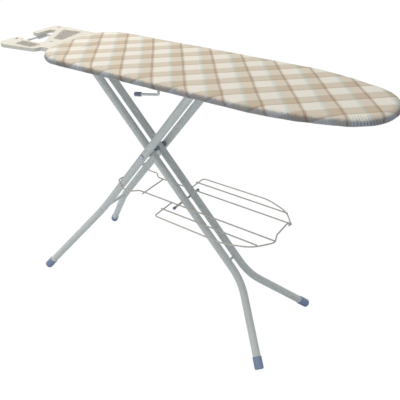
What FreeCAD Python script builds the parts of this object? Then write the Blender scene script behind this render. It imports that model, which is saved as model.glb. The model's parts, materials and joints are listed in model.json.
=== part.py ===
import FreeCAD, Part
import math
import os
from FreeCAD import Placement, Rotation, Vector

# An ironing board on a folding pair of tube legs, in millimetres.
# +X runs from the tail (iron rest) to the nose, +Z is up, and the origin is on the floor under
# the middle of the whole length. It stands open, at its working height.

os.makedirs("parts", exist_ok=True)
doc = FreeCAD.newDocument("ironing_board")

# ---------------------------------------------------------------- driving dimensions
sheet = doc.addObject("Spreadsheet::Sheet", "Dims")
DIMENSIONS = [
    ("board_length", 1200, "nose to tail of the ironing surface"),
    ("board_width", 380, "across the straight sides"),
    ("surface_height", 975, "floor to the top of the cover"),
    ("tail_corner", 130, "radius of the two tail corners"),
    ("taper_radius", 725, "large radius that draws the sides in towards the nose"),
    ("taper_start", 830, "from the tail to where the sides start to draw in"),
    ("total_length", 1434, "end of the iron rest to the nose"),
    ("cover_cloth", 2.4, "cloth and its lining"),
    ("skirt_drop", 25, "height of the cover's side"),
    ("foam_thick", 8, "foam under the cover"),
    ("sheet_steel", 0.9, "perforated top, rim, ribs and tube walls"),
    ("tube_diameter", 28, "leg tubes"),
    ("inner_leg_pitch", 52, "between the middles of the inner leg's tubes"),
    ("outer_leg_pitch", 130, "between the middles of the outer leg's tubes"),
    ("cross_from_tail", 379, "crossing bolt, from the board's tail"),
    ("cross_height", 631, "crossing bolt above the floor"),
    ("hinge_height", 932.5, "inner leg's hinge and outer leg's top bar above the floor"),
    ("inner_lean", 0.9213, "inner leg: sideways run for one of height"),
    ("outer_lean", 0.7823, "outer leg: sideways run for one of height"),
    ("inner_bend_height", 204, "where the inner leg's tubes spread"),
    ("outer_bend_height", 312.5, "where the outer leg's tubes spread"),
    ("inner_foot_half", 202, "inner leg's feet, from the middle"),
    ("outer_foot_half", 221, "outer leg's feet, from the middle"),
    ("inner_bend_radius", 200, "inner leg's tube bends"),
    ("outer_bend_radius", 300, "outer leg's tube bends"),
    ("pin_radius", 5, "hinge pin and crossing bolt"),
    ("bar_radius", 6, "outer leg's top bar and cross bar"),
    ("running_gap", 0.05, "radial gap of every turning fit"),
    ("shelf_wire", 5, "diameter of the shelf's wires"),
    ("shelf_height", 467, "middle of the shelf's long wires above the floor"),
    ("lever_wire", 8, "diameter of the release lever and of the rest's support wire"),
    ("lever_from_tail", 546, "lever's axle, from the board's tail"),
    ("axle_height", 944, "lever's axle above the floor"),
]
for row, (alias, value, note) in enumerate(DIMENSIONS, 1):
    sheet.set(f"A{row}", alias)
    sheet.set(f"B{row}", str(value))
    sheet.set(f"C{row}", note)
    sheet.setAlias(f"B{row}", alias)
doc.recompute()


def dim(alias):
    return float(getattr(sheet, alias))


TAIL_X = dim("total_length") / 2 - dim("board_length")
TUBE = dim("tube_diameter") / 2
WALL = dim("sheet_steel")
PIN = dim("pin_radius")
BAR = dim("bar_radius")
GAP = dim("running_gap")
WIRE = dim("shelf_wire") / 2
LEVER = dim("lever_wire") / 2
NODES = {}
SIDES = (("near", -1), ("far", 1))


# ---------------------------------------------------------------- small helpers
def bind(thing, prop, value):
    """A number is set; a text is an expression on the sheet."""
    if isinstance(value, str):
        thing.setExpression(prop, value)
    else:
        setattr(thing, prop, value)


def keep(node, thing):
    """Names a finished sub-part: its label is its node's name."""
    thing.Label = node
    NODES[node] = thing
    return thing


def box(name, size, corner, frame=Placement()):
    made = doc.addObject("Part::Box", name)
    for prop, value in zip(("Length", "Width", "Height"), size):
        bind(made, prop, value)
    made.Placement = frame * Placement(Vector(*corner), Rotation())
    return made


def cylinder(name, radius, length, start, axis=(0, 1, 0), frame=Placement()):
    made = doc.addObject("Part::Cylinder", name)
    bind(made, "Radius", radius)
    bind(made, "Height", length)
    turn = Rotation(Vector(0, 0, 1), Vector(*axis))
    made.Placement = frame * Placement(Vector(*start), turn)
    return made


def fuse(name, things):
    made = doc.addObject("Part::MultiFuse", name)
    made.Shapes = things
    return made


def cut(name, base, tools):
    tool = tools[0] if len(tools) == 1 else fuse(name + "_tools", tools)
    made = doc.addObject("Part::Cut", name)
    made.Base = base
    made.Tool = tool
    return made


def group(name, things):
    made = doc.addObject("Part::Compound", name)
    made.Links = things
    return made


def soften(name, base, radius, spots, reach=1.0):
    """Rounds the edges of a thing whose middles lie near the given points."""
    doc.recompute()
    picked = [
        (i, radius, radius)
        for i, edge in enumerate(base.Shape.Edges, 1)
        if any((edge.CenterOfMass - spot).Length < reach for spot in spots)
    ]
    made = doc.addObject("Part::Fillet", name)
    made.Base = base
    made.Edges = picked
    return made


def rounded_path(points, radii, closed=False):
    """Edges through the points, with a tangent arc at each corner; radii is one number or a list."""
    pts = [Vector(*p) for p in points]
    count = len(pts)
    if not isinstance(radii, (list, tuple)):
        radii = [radii] * count
    corners = range(count) if closed else range(1, count - 1)
    trims = {}
    for i in corners:
        before = (pts[i - 1] - pts[i]).normalize()
        after = (pts[(i + 1) % count] - pts[i]).normalize()
        turn = math.pi - before.getAngle(after)
        if radii[i] <= 0 or turn < 1e-4:
            continue
        reach = radii[i] * math.tan(turn / 2)
        middle = (before + after).normalize()
        apex = pts[i] + middle * (radii[i] / math.cos(turn / 2) - radii[i])
        trims[i] = (pts[i] + before * reach, apex, pts[i] + after * reach)
    edges = []
    spans = range(count) if closed else range(count - 1)
    for i in spans:
        j = (i + 1) % count
        start = trims[i][2] if i in trims else pts[i]
        end = trims[j][0] if j in trims else pts[j]
        if (end - start).Length > 1e-6:
            edges.append(Part.LineSegment(start, end))
        if j in trims and (closed or j < count - 1):
            edges.append(Part.Arc(*trims[j]))
    return edges


def plate(name, loops, base, thickness, frame=Placement()):
    """A body padded up from a sketch of closed loops; the first loop is the outside."""
    body = doc.addObject("PartDesign::Body", name)
    sketch = body.newObject("Sketcher::SketchObject", name + "_sketch")
    plane = [f for f in body.Origin.OriginFeatures if f.Role == "XY_Plane"][0]
    sketch.AttachmentSupport = (plane, [""])
    sketch.MapMode = "FlatFace"
    for loop in loops:
        for edge in loop:
            sketch.addGeometry(edge, False)
    pad = body.newObject("PartDesign::Pad", name + "_pad")
    pad.Profile = sketch
    bind(pad, "Length", thickness)
    body.Placement = frame * Placement(Vector(0, 0, base), Rotation())
    return body


def rod(name, points, radii, radius, frame=Placement()):
    """Round wire or tube swept along straight runs joined by tangent arcs."""
    spine = doc.addObject("Part::Feature", name + "_spine")
    spine.Shape = Part.Wire([edge.toShape() for edge in rounded_path(points, radii)])
    spine.Placement = frame
    start, after = Vector(*points[0]), Vector(*points[1])
    profile = doc.addObject("Part::Circle", name + "_profile")
    bind(profile, "Radius", radius)
    turn = Rotation(Vector(0, 0, 1), after - start)
    profile.Placement = frame * Placement(start, turn)
    sweep = doc.addObject("Part::Sweep", name)
    sweep.Sections = [profile]
    sweep.Spine = (spine, [f"Edge{i + 1}" for i in range(len(spine.Shape.Edges))])
    sweep.Solid = True
    sweep.Frenet = False
    return sweep


# ---------------------------------------------------------------- plan outline of the board
def board_outline(inset):
    """Tail edge, two tail corners, straight sides, long tapers and a round nose, all tangent."""
    half = dim("board_width") / 2
    corner = dim("tail_corner")
    taper = dim("taper_radius")
    start_x = TAIL_X + dim("taper_start")
    nose_x = TAIL_X + dim("board_length")
    drop = taper - half
    reach = nose_x - start_x
    nose = (taper**2 - reach**2 - drop**2) / (2 * (taper - reach))
    nose_centre = Vector(nose_x - nose, 0, 0)
    taper_centre = Vector(start_x, -drop, 0)
    tail_centre = Vector(TAIL_X + corner, half - corner, 0)
    toward = (nose_centre - taper_centre).normalize()
    tangent = math.atan2(toward.y, toward.x)

    def mirrored(v):
        return Vector(v.x, -v.y, 0)

    def at(centre, radius, angle):
        return centre + Vector(math.cos(angle), math.sin(angle), 0) * radius

    def arc(centre, radius, first, last):
        return [at(centre, radius, a) for a in (first, (first + last) / 2, last)]

    tail = arc(tail_centre, corner - inset, math.pi, math.pi / 2)
    side = arc(taper_centre, taper - inset, math.pi / 2, tangent)
    tip = [at(nose_centre, nose - inset, a) for a in (tangent, 0, -tangent)]
    return [
        Part.LineSegment(mirrored(tail[0]), tail[0]),
        Part.Arc(*tail),
        Part.LineSegment(tail[2], side[0]),
        Part.Arc(*side),
        Part.Arc(*tip),
        Part.Arc(*[mirrored(v) for v in reversed(side)]),
        Part.LineSegment(mirrored(side[0]), mirrored(tail[2])),
        Part.Arc(*[mirrored(v) for v in reversed(tail)]),
    ]


SURFACE = dim("surface_height")
SKIRT_BASE = SURFACE - dim("skirt_drop")
FOAM_BASE = SURFACE - dim("cover_cloth") - dim("foam_thick")
STEEL_BASE = FOAM_BASE - WALL
RIB_DEPTH = 12
RIB_BASE = STEEL_BASE - RIB_DEPTH

# Cover: one sewn skin with a side skirt and a hem turned under the rim.
HEM_WIDTH = 28
SIDE_CLOTH = 2.2
cover_block = plate("cover_block", [board_outline(0)], SKIRT_BASE, "Dims.skirt_drop")
cover_room = plate("cover_room", [board_outline(SIDE_CLOTH)], SKIRT_BASE + SIDE_CLOTH,
                   "Dims.skirt_drop - Dims.cover_cloth - 2.2")
cover_mouth = plate("cover_mouth", [board_outline(HEM_WIDTH)], SKIRT_BASE - 1, 10)
cover_shell = cut("cover_shell", cover_block, [cover_room, cover_mouth])
top_edges = [edge.toShape().CenterOfMass + Vector(0, 0, SURFACE) for edge in board_outline(0)]
keep("cover", soften("cover", cover_shell, 5, top_edges))

# Hem cord: elastic that lies in the turned-under hem, inside the rim.
CORD_INSET = 22
keep("hem_cord", plate("hem_cord", [board_outline(CORD_INSET), board_outline(CORD_INSET + 3)],
                       SKIRT_BASE + SIDE_CLOTH, 2.5))

keep("foam_pad", plate("foam_pad", [board_outline(3)], FOAM_BASE, "Dims.foam_thick"))

# Perforated steel top: staggered round holes, all well inside the rim.
HOLE_RADIUS, HOLE_PITCH = 7, 36
top_wires = [Part.Wire([edge.toShape() for edge in board_outline(3)])]
inner_face = Part.Face(Part.Wire([edge.toShape() for edge in board_outline(38)]))
row_step = HOLE_PITCH * math.sqrt(3) / 2
for row in range(-5, 6):
    for column in range(33):
        spot = Vector(TAIL_X + 24 + HOLE_PITCH * (column + 0.5 * (row % 2)), row * row_step, 0)
        if inner_face.isInside(spot, 0.01, True):
            top_wires.append(Part.Wire(Part.Circle(spot, Vector(0, 0, 1), HOLE_RADIUS).toShape()))
steel_top = doc.addObject("Part::Feature", "steel_top")
steel_face = Part.Face(top_wires[0])
steel_face = steel_face.cut([Part.Face(wire) for wire in top_wires[1:]]).Faces[0]
steel_top.Shape = steel_face.extrude(Vector(0, 0, WALL))
steel_top.Placement = Placement(Vector(0, 0, STEEL_BASE), Rotation())
keep("steel_top", steel_top)

# Rim: a folded channel, open downwards, under the edge of the steel top.
RIM_WIDTH, RIM_DEPTH = 17, 11
rim_block = plate("rim_block", [board_outline(3), board_outline(3 + RIM_WIDTH)],
                  STEEL_BASE - RIM_DEPTH, RIM_DEPTH)
rim_groove = plate("rim_groove", [board_outline(3 + WALL), board_outline(3 + RIM_WIDTH - WALL)],
                   STEEL_BASE - RIM_DEPTH - 1, RIM_DEPTH + 1 - WALL)
keep("rim_frame", cut("rim_frame", rim_block, [rim_groove]))

# ---------------------------------------------------------------- under the board
CROSS_X = TAIL_X + dim("cross_from_tail")
CROSS_Z = dim("cross_height")
HINGE_Z = dim("hinge_height")
HALF_SPAN = dim("outer_lean") * (HINGE_Z - CROSS_Z)
HINGE_X = CROSS_X - HALF_SPAN
BAR_X = CROSS_X + HALF_SPAN
AXLE_X = TAIL_X + dim("lever_from_tail")
AXLE_Z = dim("axle_height")
INNER_Y = dim("inner_leg_pitch") / 2
OUTER_Y = dim("outer_leg_pitch") / 2

# Ribs: shallow channels across the underside of the steel top.
RIB_WIDTH, RIB_HALF = 24, 160
ribs = []
for rib_x in (HINGE_X, TAIL_X + 350, AXLE_X, TAIL_X + 660, TAIL_X + 790, TAIL_X + 925):
    reach = RIB_HALF if rib_x < TAIL_X + 900 else RIB_HALF - 16
    solid = box("rib_block", (RIB_WIDTH, 2 * reach, RIB_DEPTH), (rib_x - RIB_WIDTH / 2, -reach, RIB_BASE))
    inside = box("rib_room", (RIB_WIDTH - 2 * WALL, 2 * reach + 2, RIB_DEPTH),
                 (rib_x - RIB_WIDTH / 2 + WALL, -reach - 1, RIB_BASE + WALL))
    ribs.append(cut("rib", solid, [inside]))
keep("cross_ribs", group("cross_ribs", ribs))

# Rails: channels that open towards the middle, hung under three ribs by an outward flange.
RAIL_START, RAIL_END = TAIL_X + 584, TAIL_X + 940
RAIL_INNER, RAIL_WEB = 82.5, 99.5
RAIL_STEEL, RAIL_ROOM = 1.5, 26
rail_length = RAIL_END - RAIL_START
rail_rivets = []
for side, sign in SIDES:
    depth = RAIL_WEB + RAIL_STEEL - RAIL_INNER
    low = HINGE_Z - RAIL_ROOM / 2 - RAIL_STEEL
    pieces = []
    for part_name, y_start, y_size, z_start, z_size in (
        ("web", RAIL_WEB, RAIL_STEEL, low, RIB_BASE - low),
        ("lower", RAIL_INNER, depth, low, RAIL_STEEL),
        ("upper", RAIL_INNER, depth, HINGE_Z + RAIL_ROOM / 2, RAIL_STEEL),
        ("flange", RAIL_WEB, 15, RIB_BASE - RAIL_STEEL, RAIL_STEEL),
    ):
        corner_y = y_start if sign > 0 else -y_start - y_size
        pieces.append(box("rail_" + part_name, (rail_length, y_size, z_size),
                          (RAIL_START, corner_y, z_start)))
    keep("rail_" + side, fuse("rail_" + side, pieces))
    for rib_x in (TAIL_X + 660, TAIL_X + 790, TAIL_X + 925):
        rail_rivets.append(cylinder("rail_rivet", 3.5, 2,
                                    (rib_x, sign * (RAIL_WEB + 8), RIB_BASE - RAIL_STEEL - 2), (0, 0, 1)))
keep("rail_rivets", group("rail_rivets", rail_rivets))

# Hinge of the inner leg: two bent brackets under a rib and one pin with upset heads.
BRACKET_INNER, BRACKET_STEEL = 43, 3
for side, sign in SIDES:
    start_y = BRACKET_INNER if sign > 0 else -BRACKET_INNER - BRACKET_STEEL
    ear = box("bracket_ear", (RIB_WIDTH, BRACKET_STEEL, RIB_BASE - HINGE_Z),
              (HINGE_X - RIB_WIDTH / 2, start_y, HINGE_Z))
    tip = cylinder("bracket_tip", RIB_WIDTH / 2, BRACKET_STEEL, (HINGE_X, start_y, HINGE_Z))
    foot_y = start_y if sign > 0 else start_y - 15
    foot = box("bracket_foot", (RIB_WIDTH, BRACKET_STEEL + 15, 2),
               (HINGE_X - RIB_WIDTH / 2, foot_y, RIB_BASE - 2))
    solid = fuse("bracket_solid", [ear, tip, foot])
    hole = cylinder("bracket_hole", "Dims.pin_radius", BRACKET_STEEL + 2, (HINGE_X, start_y - 1, HINGE_Z))
    keep("hinge_bracket_" + side, cut("hinge_bracket_" + side, solid, [hole]))
pin_half = BRACKET_INNER + BRACKET_STEEL
keep("hinge_pin", fuse("hinge_pin", [
    cylinder("pin_shank", "Dims.pin_radius", 2 * pin_half + 6, (HINGE_X, -pin_half - 3, HINGE_Z)),
    cylinder("pin_head_near", 8, 3, (HINGE_X, -pin_half - 3, HINGE_Z)),
    cylinder("pin_head_far", 8, 3, (HINGE_X, pin_half, HINGE_Z)),
]))


# ---------------------------------------------------------------- legs
def leg_frame(angle):
    """Leg frame: origin at the crossing bolt, +X down the leg, +Y across."""
    return Placement(Vector(CROSS_X, 0, CROSS_Z), Rotation(Vector(0, 1, 0), angle))


INNER_LEAN = math.atan(dim("inner_lean"))
OUTER_LEAN = math.atan(dim("outer_lean"))
INNER = leg_frame(90 - math.degrees(INNER_LEAN))
OUTER = leg_frame(90 + math.degrees(OUTER_LEAN))
HINGE_LOCAL = INNER.inverse().multVec(Vector(HINGE_X, 0, HINGE_Z))
LEG_TOP = math.hypot(HALF_SPAN, HINGE_Z - CROSS_Z)
INNER_TOP = HINGE_LOCAL.x - 14
OUTER_TOP = -LEG_TOP - 4
CAP_RADIUS, CAP_LENGTH, TUBE_SHORT, CAP_RISE, CAP_ROUND = TUBE + 2.2, 44, 26, 7, 5


def leg_points(lean, bend_height, half_pitch, foot_half, top):
    """The tube's middle line: straight down to the bend, then spreading to the foot."""
    slope = math.cos(lean)
    bend = (CROSS_Z - bend_height) / slope
    foot = CROSS_Z / slope
    return [Vector(top, half_pitch, 0), Vector(bend, half_pitch, 0), Vector(foot, foot_half, 0)]


TUBE_SKINS = {}


def leg_tube(node, frame, points, bend_radius, sign, holes):
    """A hollow bent tube with cross holes; returns its foot cap, flat where it meets the floor."""
    top, bend, foot = [Vector(p.x, sign * p.y, 0) for p in points]
    run = (foot - bend).normalize()
    steepness = abs(frame.Rotation.multVec(run).z)
    end = foot - run * TUBE_SHORT
    outer = rod(node + "_outer", [top, bend, end], bend_radius, "Dims.tube_diameter / 2", frame)
    inner = rod(node + "_inner", [top - Vector(1, 0, 0), bend, end + run], bend_radius,
                "Dims.tube_diameter / 2 - Dims.sheet_steel", frame)
    drill_y = sign * abs(top.y) - TUBE - 2
    drills = [
        cylinder(node + "_hole", size, 2 * TUBE + 4, (at, drill_y, 0), (0, 1, 0), frame)
        for at, size in holes
    ]
    TUBE_SKINS[node] = outer
    keep(node, cut(node, outer, [inner] + drills))
    cap_end = foot - run * (CAP_RISE / steepness)
    cap_start = cap_end - run * CAP_LENGTH
    cap = cylinder("cap_block", CAP_RADIUS, CAP_LENGTH, cap_start, run, frame)
    rounded = soften("cap_end_round", cap, CAP_ROUND, [frame.multVec(cap_end)])
    mouth = soften("cap_mouth_round", rounded, 1.2, [frame.multVec(cap_start)])
    room = cylinder("cap_room", "Dims.tube_diameter / 2", (end - cap_start).Length + 1,
                    cap_start - run, run, frame)
    floor = frame.multVec(foot)
    ground = box("ground", (400, 400, 200), (floor.x - 200, floor.y - 200, -200))
    return cut(node.replace("tube", "foot"), mouth, [room, ground])


inner_points = leg_points(INNER_LEAN, dim("inner_bend_height"), INNER_Y, dim("inner_foot_half"), INNER_TOP)
outer_points = leg_points(OUTER_LEAN, dim("outer_bend_height"), OUTER_Y, dim("outer_foot_half"), OUTER_TOP)
BUSH_RADIUS = 7
for side, sign in SIDES:
    keep("inner_foot_" + side, leg_tube("inner_tube_" + side, INNER, inner_points,
                                        dim("inner_bend_radius"), sign, [(0, "Dims.pin_radius")]))
    keep("outer_foot_" + side, leg_tube("outer_tube_" + side, OUTER, outer_points, dim("outer_bend_radius"),
                                        sign, [(0, BUSH_RADIUS), (-LEG_TOP, "Dims.bar_radius")]))


def cross_bar(node, leg, frame, at, half, radius):
    """A bar between two tubes, its ends shaped to their round sides."""
    bar = cylinder(node + "_bar", radius, 2 * half, (at, -half, 0), (0, 1, 0), frame)
    return keep(node, cut(node, bar, [TUBE_SKINS[f"{leg}_tube_{side}"] for side, _ in SIDES]))


INNER_BAR_AT, OUTER_BAR_AT, OUTER_BAR_HALF = 494, 396, 67
cross_bar("inner_cross_bar", "inner", INNER, INNER_BAR_AT, INNER_Y, 5)
cross_bar("outer_cross_bar", "outer", OUTER, OUTER_BAR_AT, OUTER_BAR_HALF, "Dims.bar_radius")

# Hinge sleeve of the inner leg, and the two ears that stand it off the tubes.
SLEEVE_RADIUS, SLEEVE_HALF = 9, 40
sleeve_block = cylinder("sleeve_block", SLEEVE_RADIUS, 2 * SLEEVE_HALF, (HINGE_X, -SLEEVE_HALF, HINGE_Z))
sleeve_bore = cylinder("sleeve_bore", "Dims.pin_radius + Dims.running_gap", 2 * SLEEVE_HALF + 2,
                       (HINGE_X, -SLEEVE_HALF - 1, HINGE_Z))
keep("hinge_sleeve", cut("hinge_sleeve", sleeve_block, [sleeve_bore]))
EAR_STEEL = 4
ears = []
for side, sign in SIDES:
    ear = box("ear_block", (26, EAR_STEEL, HINGE_LOCAL.z - 5 - TUBE),
              (HINGE_LOCAL.x - 13, sign * INNER_Y - EAR_STEEL / 2, TUBE), INNER)
    around = cylinder("ear_round", SLEEVE_RADIUS, 100, (HINGE_X, -50, HINGE_Z))
    ears.append(cut("ear", ear, [around]))
keep("hinge_ears", group("hinge_ears", ears))

# Crossing: one bolt through all four tubes; spacers keep the tubes apart.
HEAD_GAP = 0.5
bolt_half = OUTER_Y + TUBE + HEAD_GAP
bolt_shank = cylinder("bolt_shank", "Dims.pin_radius", 2 * bolt_half + 9,
                      (0, -bolt_half, 0), (0, 1, 0), INNER)
bolt_head = cylinder("bolt_head", 10, 5, (0, -bolt_half - 5, 0), (0, 1, 0), INNER)
bolt_dome = soften("bolt_dome", bolt_head, 4, [INNER.multVec(Vector(0, -bolt_half - 5, 0))])
keep("pivot_bolt", fuse("pivot_bolt", [bolt_shank, bolt_dome]))
nut_block = doc.addObject("Part::Prism", "nut_block")
nut_block.Polygon = 6
nut_block.Circumradius = 9.8
nut_block.Height = 8
nut_block.Placement = INNER * Placement(Vector(0, bolt_half, 0), Rotation(Vector(0, 0, 1), Vector(0, 1, 0)))
nut_bore = cylinder("nut_bore", "Dims.pin_radius", 10, (0, bolt_half - 1, 0), (0, 1, 0), INNER)
keep("pivot_nut", cut("pivot_nut", nut_block, [nut_bore]))
spacer_half = INNER_Y - TUBE
spacer_block = cylinder("spacer_block", 9, 2 * spacer_half, (0, -spacer_half, 0), (0, 1, 0), INNER)
spacer_bore = cylinder("spacer_bore", "Dims.pin_radius", 2 * spacer_half + 2,
                       (0, -spacer_half - 1, 0), (0, 1, 0), INNER)
keep("pivot_spacer", cut("pivot_spacer", spacer_block, [spacer_bore]))

# Bushes in the outer leg: a sleeve in the tube, and a collar that fills the gap to the inner leg.
collar_inner = INNER_Y + TUBE + 0.4
collar_outer = OUTER_Y - TUBE
sleeve_end = OUTER_Y + TUBE
BORE_LONG = 60


def across(name, radius, near_end, far_end, sign):
    """A cylinder across the outer leg, between two distances from the middle on one side."""
    start = min(sign * near_end, sign * far_end)
    return cylinder(name, radius, far_end - near_end, (0, start, 0), (0, 1, 0), OUTER)


for side, sign in SIDES:
    sleeve = across("bush_sleeve", BUSH_RADIUS, collar_outer, sleeve_end, sign)
    collar = across("bush_collar", 12, collar_inner, collar_outer, sign)
    bore = across("bush_bore", "Dims.pin_radius + Dims.running_gap",
                  collar_inner - 10, collar_inner - 10 + BORE_LONG, sign)
    solid = fuse("bush_solid", [sleeve, collar])
    keep("pivot_bush_" + side, cut("pivot_bush_" + side, solid, [bore]))

# Top bar of the outer leg and the plastic blocks that carry its ends along the rails.
BAR_HALF = 98
keep("outer_top_bar", cylinder("outer_top_bar", "Dims.bar_radius", 2 * BAR_HALF,
                               (BAR_X, -BAR_HALF, HINGE_Z)))
BLOCK_LONG, BLOCK_TALL, BLOCK_WIDE = 44, 24.6, 14
for side, sign in SIDES:
    start_y = BAR_HALF - BLOCK_WIDE if sign > 0 else -BAR_HALF
    solid = box("block_solid", (BLOCK_LONG, BLOCK_WIDE, BLOCK_TALL),
                (BAR_X - BLOCK_LONG / 2, start_y, HINGE_Z - BLOCK_TALL / 2))
    bore = cylinder("block_bore", "Dims.bar_radius + Dims.running_gap", BLOCK_WIDE + 2,
                    (BAR_X, start_y - 1, HINGE_Z))
    keep("slide_block_" + side, cut("slide_block_" + side, solid, [bore]))

# Domed rivet heads where the outer leg's cross bar is fixed: each seat follows its tube's side.
bar_rivets = []
for side, sign in SIDES:
    face = sign * (OUTER_BAR_HALF + TUBE)
    start = face - 3 if sign > 0 else face - 3.5
    head = cylinder("rivet_head", 5.5, 6.5, (OUTER_BAR_AT, start, 0), (0, 1, 0), OUTER)
    crown_at = OUTER.multVec(Vector(OUTER_BAR_AT, face + sign * 3.5, 0))
    crown = soften("rivet_crown", head, 2.4, [crown_at])
    bar_rivets.append(cut("bar_rivet", crown, [TUBE_SKINS["outer_tube_" + side]]))
keep("cross_bar_rivets", group("cross_bar_rivets", bar_rivets))

# Shelf rod under the inner leg's tubes, with dark end caps.
ROD_AT, ROD_RADIUS, ROD_HALF = 216, 4, 70
rod_low = -TUBE - ROD_RADIUS
keep("shelf_rod", cylinder("shelf_rod", ROD_RADIUS, 2 * ROD_HALF,
                           (ROD_AT, -ROD_HALF, rod_low), (0, 1, 0), INNER))
ROD_CAP = 8
caps = [cylinder("rod_cap", 5.5, ROD_CAP, (ROD_AT, start, rod_low), (0, 1, 0), INNER)
        for start in (-ROD_HALF - ROD_CAP, ROD_HALF)]
keep("shelf_rod_caps", group("shelf_rod_caps", caps))

# ---------------------------------------------------------------- wire shelf
SHELF_Z = dim("shelf_height")
LOWER_Z = SHELF_Z - dim("shelf_wire")
HOOK_AT = 180
HOOK_GAP = 0.5
hook = OUTER.multVec(Vector(HOOK_AT, 0, -TUBE - WIRE - HOOK_GAP))
HOOK_Y = OUTER_Y + TUBE + WIRE + HOOK_GAP
MAIN_Y, SIDE_Y = 58, 110
main_wires = []
side_wires = []
for side, sign in SIDES:
    hook_path = [
        (hook.x, sign * 56, hook.z),
        (hook.x, sign * HOOK_Y, hook.z),
        (TAIL_X + 268, sign * HOOK_Y, SHELF_Z),
        (TAIL_X + 308, sign * HOOK_Y, SHELF_Z),
        (TAIL_X + 334, sign * MAIN_Y, SHELF_Z),
        (TAIL_X + 914, sign * MAIN_Y, SHELF_Z),
    ]
    main_wires.append(rod("main_wire_" + side, hook_path, [0, 5, 8, 10, 14, 0], "Dims.shelf_wire / 2"))
    side_wires.append(rod("side_wire_" + side,
                          [(TAIL_X + 480, sign * SIDE_Y, SHELF_Z), (TAIL_X + 872, sign * SIDE_Y, SHELF_Z)],
                          0, "Dims.shelf_wire / 2"))
keep("shelf_main_wires", group("shelf_main_wires", main_wires))
keep("shelf_side_wires", group("shelf_side_wires", side_wires))
CROSS_WIRE_X, CROSS_WIRE_HALF = TAIL_X + 354, MAIN_Y + 7
cross_wire_path = [(CROSS_WIRE_X, -CROSS_WIRE_HALF, LOWER_Z), (CROSS_WIRE_X, CROSS_WIRE_HALF, LOWER_Z)]
keep("shelf_cross_wire", rod("shelf_cross_wire", cross_wire_path, 0, "Dims.shelf_wire / 2"))
# Outer wire: out from one long wire, along the side, round the nose over a raised hump, and back.
HUMP = 20
half_rim = [
    (TAIL_X + 484, MAIN_Y - 5, LOWER_Z),
    (TAIL_X + 484, 154, LOWER_Z),
    (TAIL_X + 770, 158, LOWER_Z),
    (TAIL_X + 862, 124, LOWER_Z),
    (TAIL_X + 908, 64, LOWER_Z),
    (TAIL_X + 908, 50, LOWER_Z),
    (TAIL_X + 908, 42, LOWER_Z + HUMP),
]
half_radii = [0, 12, 150, 120, 24, 5, 5]
rim_path = half_rim + [(x, -y, z) for x, y, z in reversed(half_rim)]
rim_radii = half_radii + half_radii[::-1]
keep("shelf_rim_wire", rod("shelf_rim_wire", rim_path, rim_radii, "Dims.shelf_wire / 2"))

# ---------------------------------------------------------------- release lever and latch
GRIP_Y = -165
lever_points = [
    (AXLE_X, 10, AXLE_Z),
    (AXLE_X, GRIP_Y, AXLE_Z),
    (AXLE_X, GRIP_Y, AXLE_Z - 15),
    (AXLE_X - 86, GRIP_Y, AXLE_Z - 31),
]
keep("lever_wire", rod("lever_wire", lever_points, [0, 6.5, 6.5, 0], "Dims.lever_wire / 2"))
grip_run = (Vector(*lever_points[3]) - Vector(*lever_points[2])).normalize()
grip_start = Vector(*lever_points[3]) - grip_run * 18
grip_block = cylinder("grip_block", 7, 26, grip_start, grip_run)
grip_bore = cylinder("grip_bore", "Dims.lever_wire / 2", 19, grip_start - grip_run, grip_run)
grip_soft = soften("grip_soft", grip_block, 3, [grip_start, grip_start + grip_run * 26])
keep("lever_grip", cut("lever_grip", grip_soft, [grip_bore]))

# Latch rack: a notched plate on the axle; each notch is one working height.
RACK_STEEL, NOTCHES, NOTCH_STEP, NOTCH_RADIUS, HOLD_ANGLE = 3, 4, 28, 6.6, math.radians(4)
tip_z = HINGE_Z - BAR - 0.9 - AXLE_Z
rack_frame = Placement(Vector(AXLE_X, RACK_STEEL / 2, AXLE_Z), Rotation(Vector(1, 0, 0), 90))
rack_length = BAR_X + (NOTCHES - 1) * NOTCH_STEP - AXLE_X + 14
rack_outline = rounded_path([
    (-7, 5.8, 0), (14, 5.8, 0), (46, tip_z, 0), (rack_length, tip_z, 0), (rack_length, -34, 0),
    (40, -30, 0), (-7, -8, 0)], [5, 6, 4, 3, 3, 20, 5], closed=True)
rack_block = plate("rack_block", [rack_outline], 0, RACK_STEEL, rack_frame)
rack_cuts = [cylinder("rack_bore", "Dims.lever_wire / 2", 20, (AXLE_X, -10, AXLE_Z))]
for step in range(NOTCHES):
    run, rise = BAR_X + step * NOTCH_STEP - AXLE_X, HINGE_Z - AXLE_Z
    held_x = run * math.cos(HOLD_ANGLE) + rise * math.sin(HOLD_ANGLE)
    held_z = rise * math.cos(HOLD_ANGLE) - run * math.sin(HOLD_ANGLE)
    rack_cuts.append(cylinder("notch_round", NOTCH_RADIUS, 20, (AXLE_X + held_x, -10, AXLE_Z + held_z)))
    rack_cuts.append(box("notch_slot", (2 * NOTCH_RADIUS, 20, 20),
                         (AXLE_X + held_x - NOTCH_RADIUS, -10, AXLE_Z + held_z)))
keep("latch_rack", cut("latch_rack", rack_block, rack_cuts))

# Two plastic clips carry the axle under a rib.
for side, clip_y in (("near", -140), ("far", -30)):
    solid = box("clip_block", (18, 8, RIB_BASE - AXLE_Z + 7), (AXLE_X - 9, clip_y - 4, AXLE_Z - 7))
    bore = cylinder("clip_bore", "Dims.lever_wire / 2 + Dims.running_gap", 12, (AXLE_X, clip_y - 6, AXLE_Z))
    keep("lever_clip_" + side, cut("lever_clip_" + side, solid, [bore]))

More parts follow.
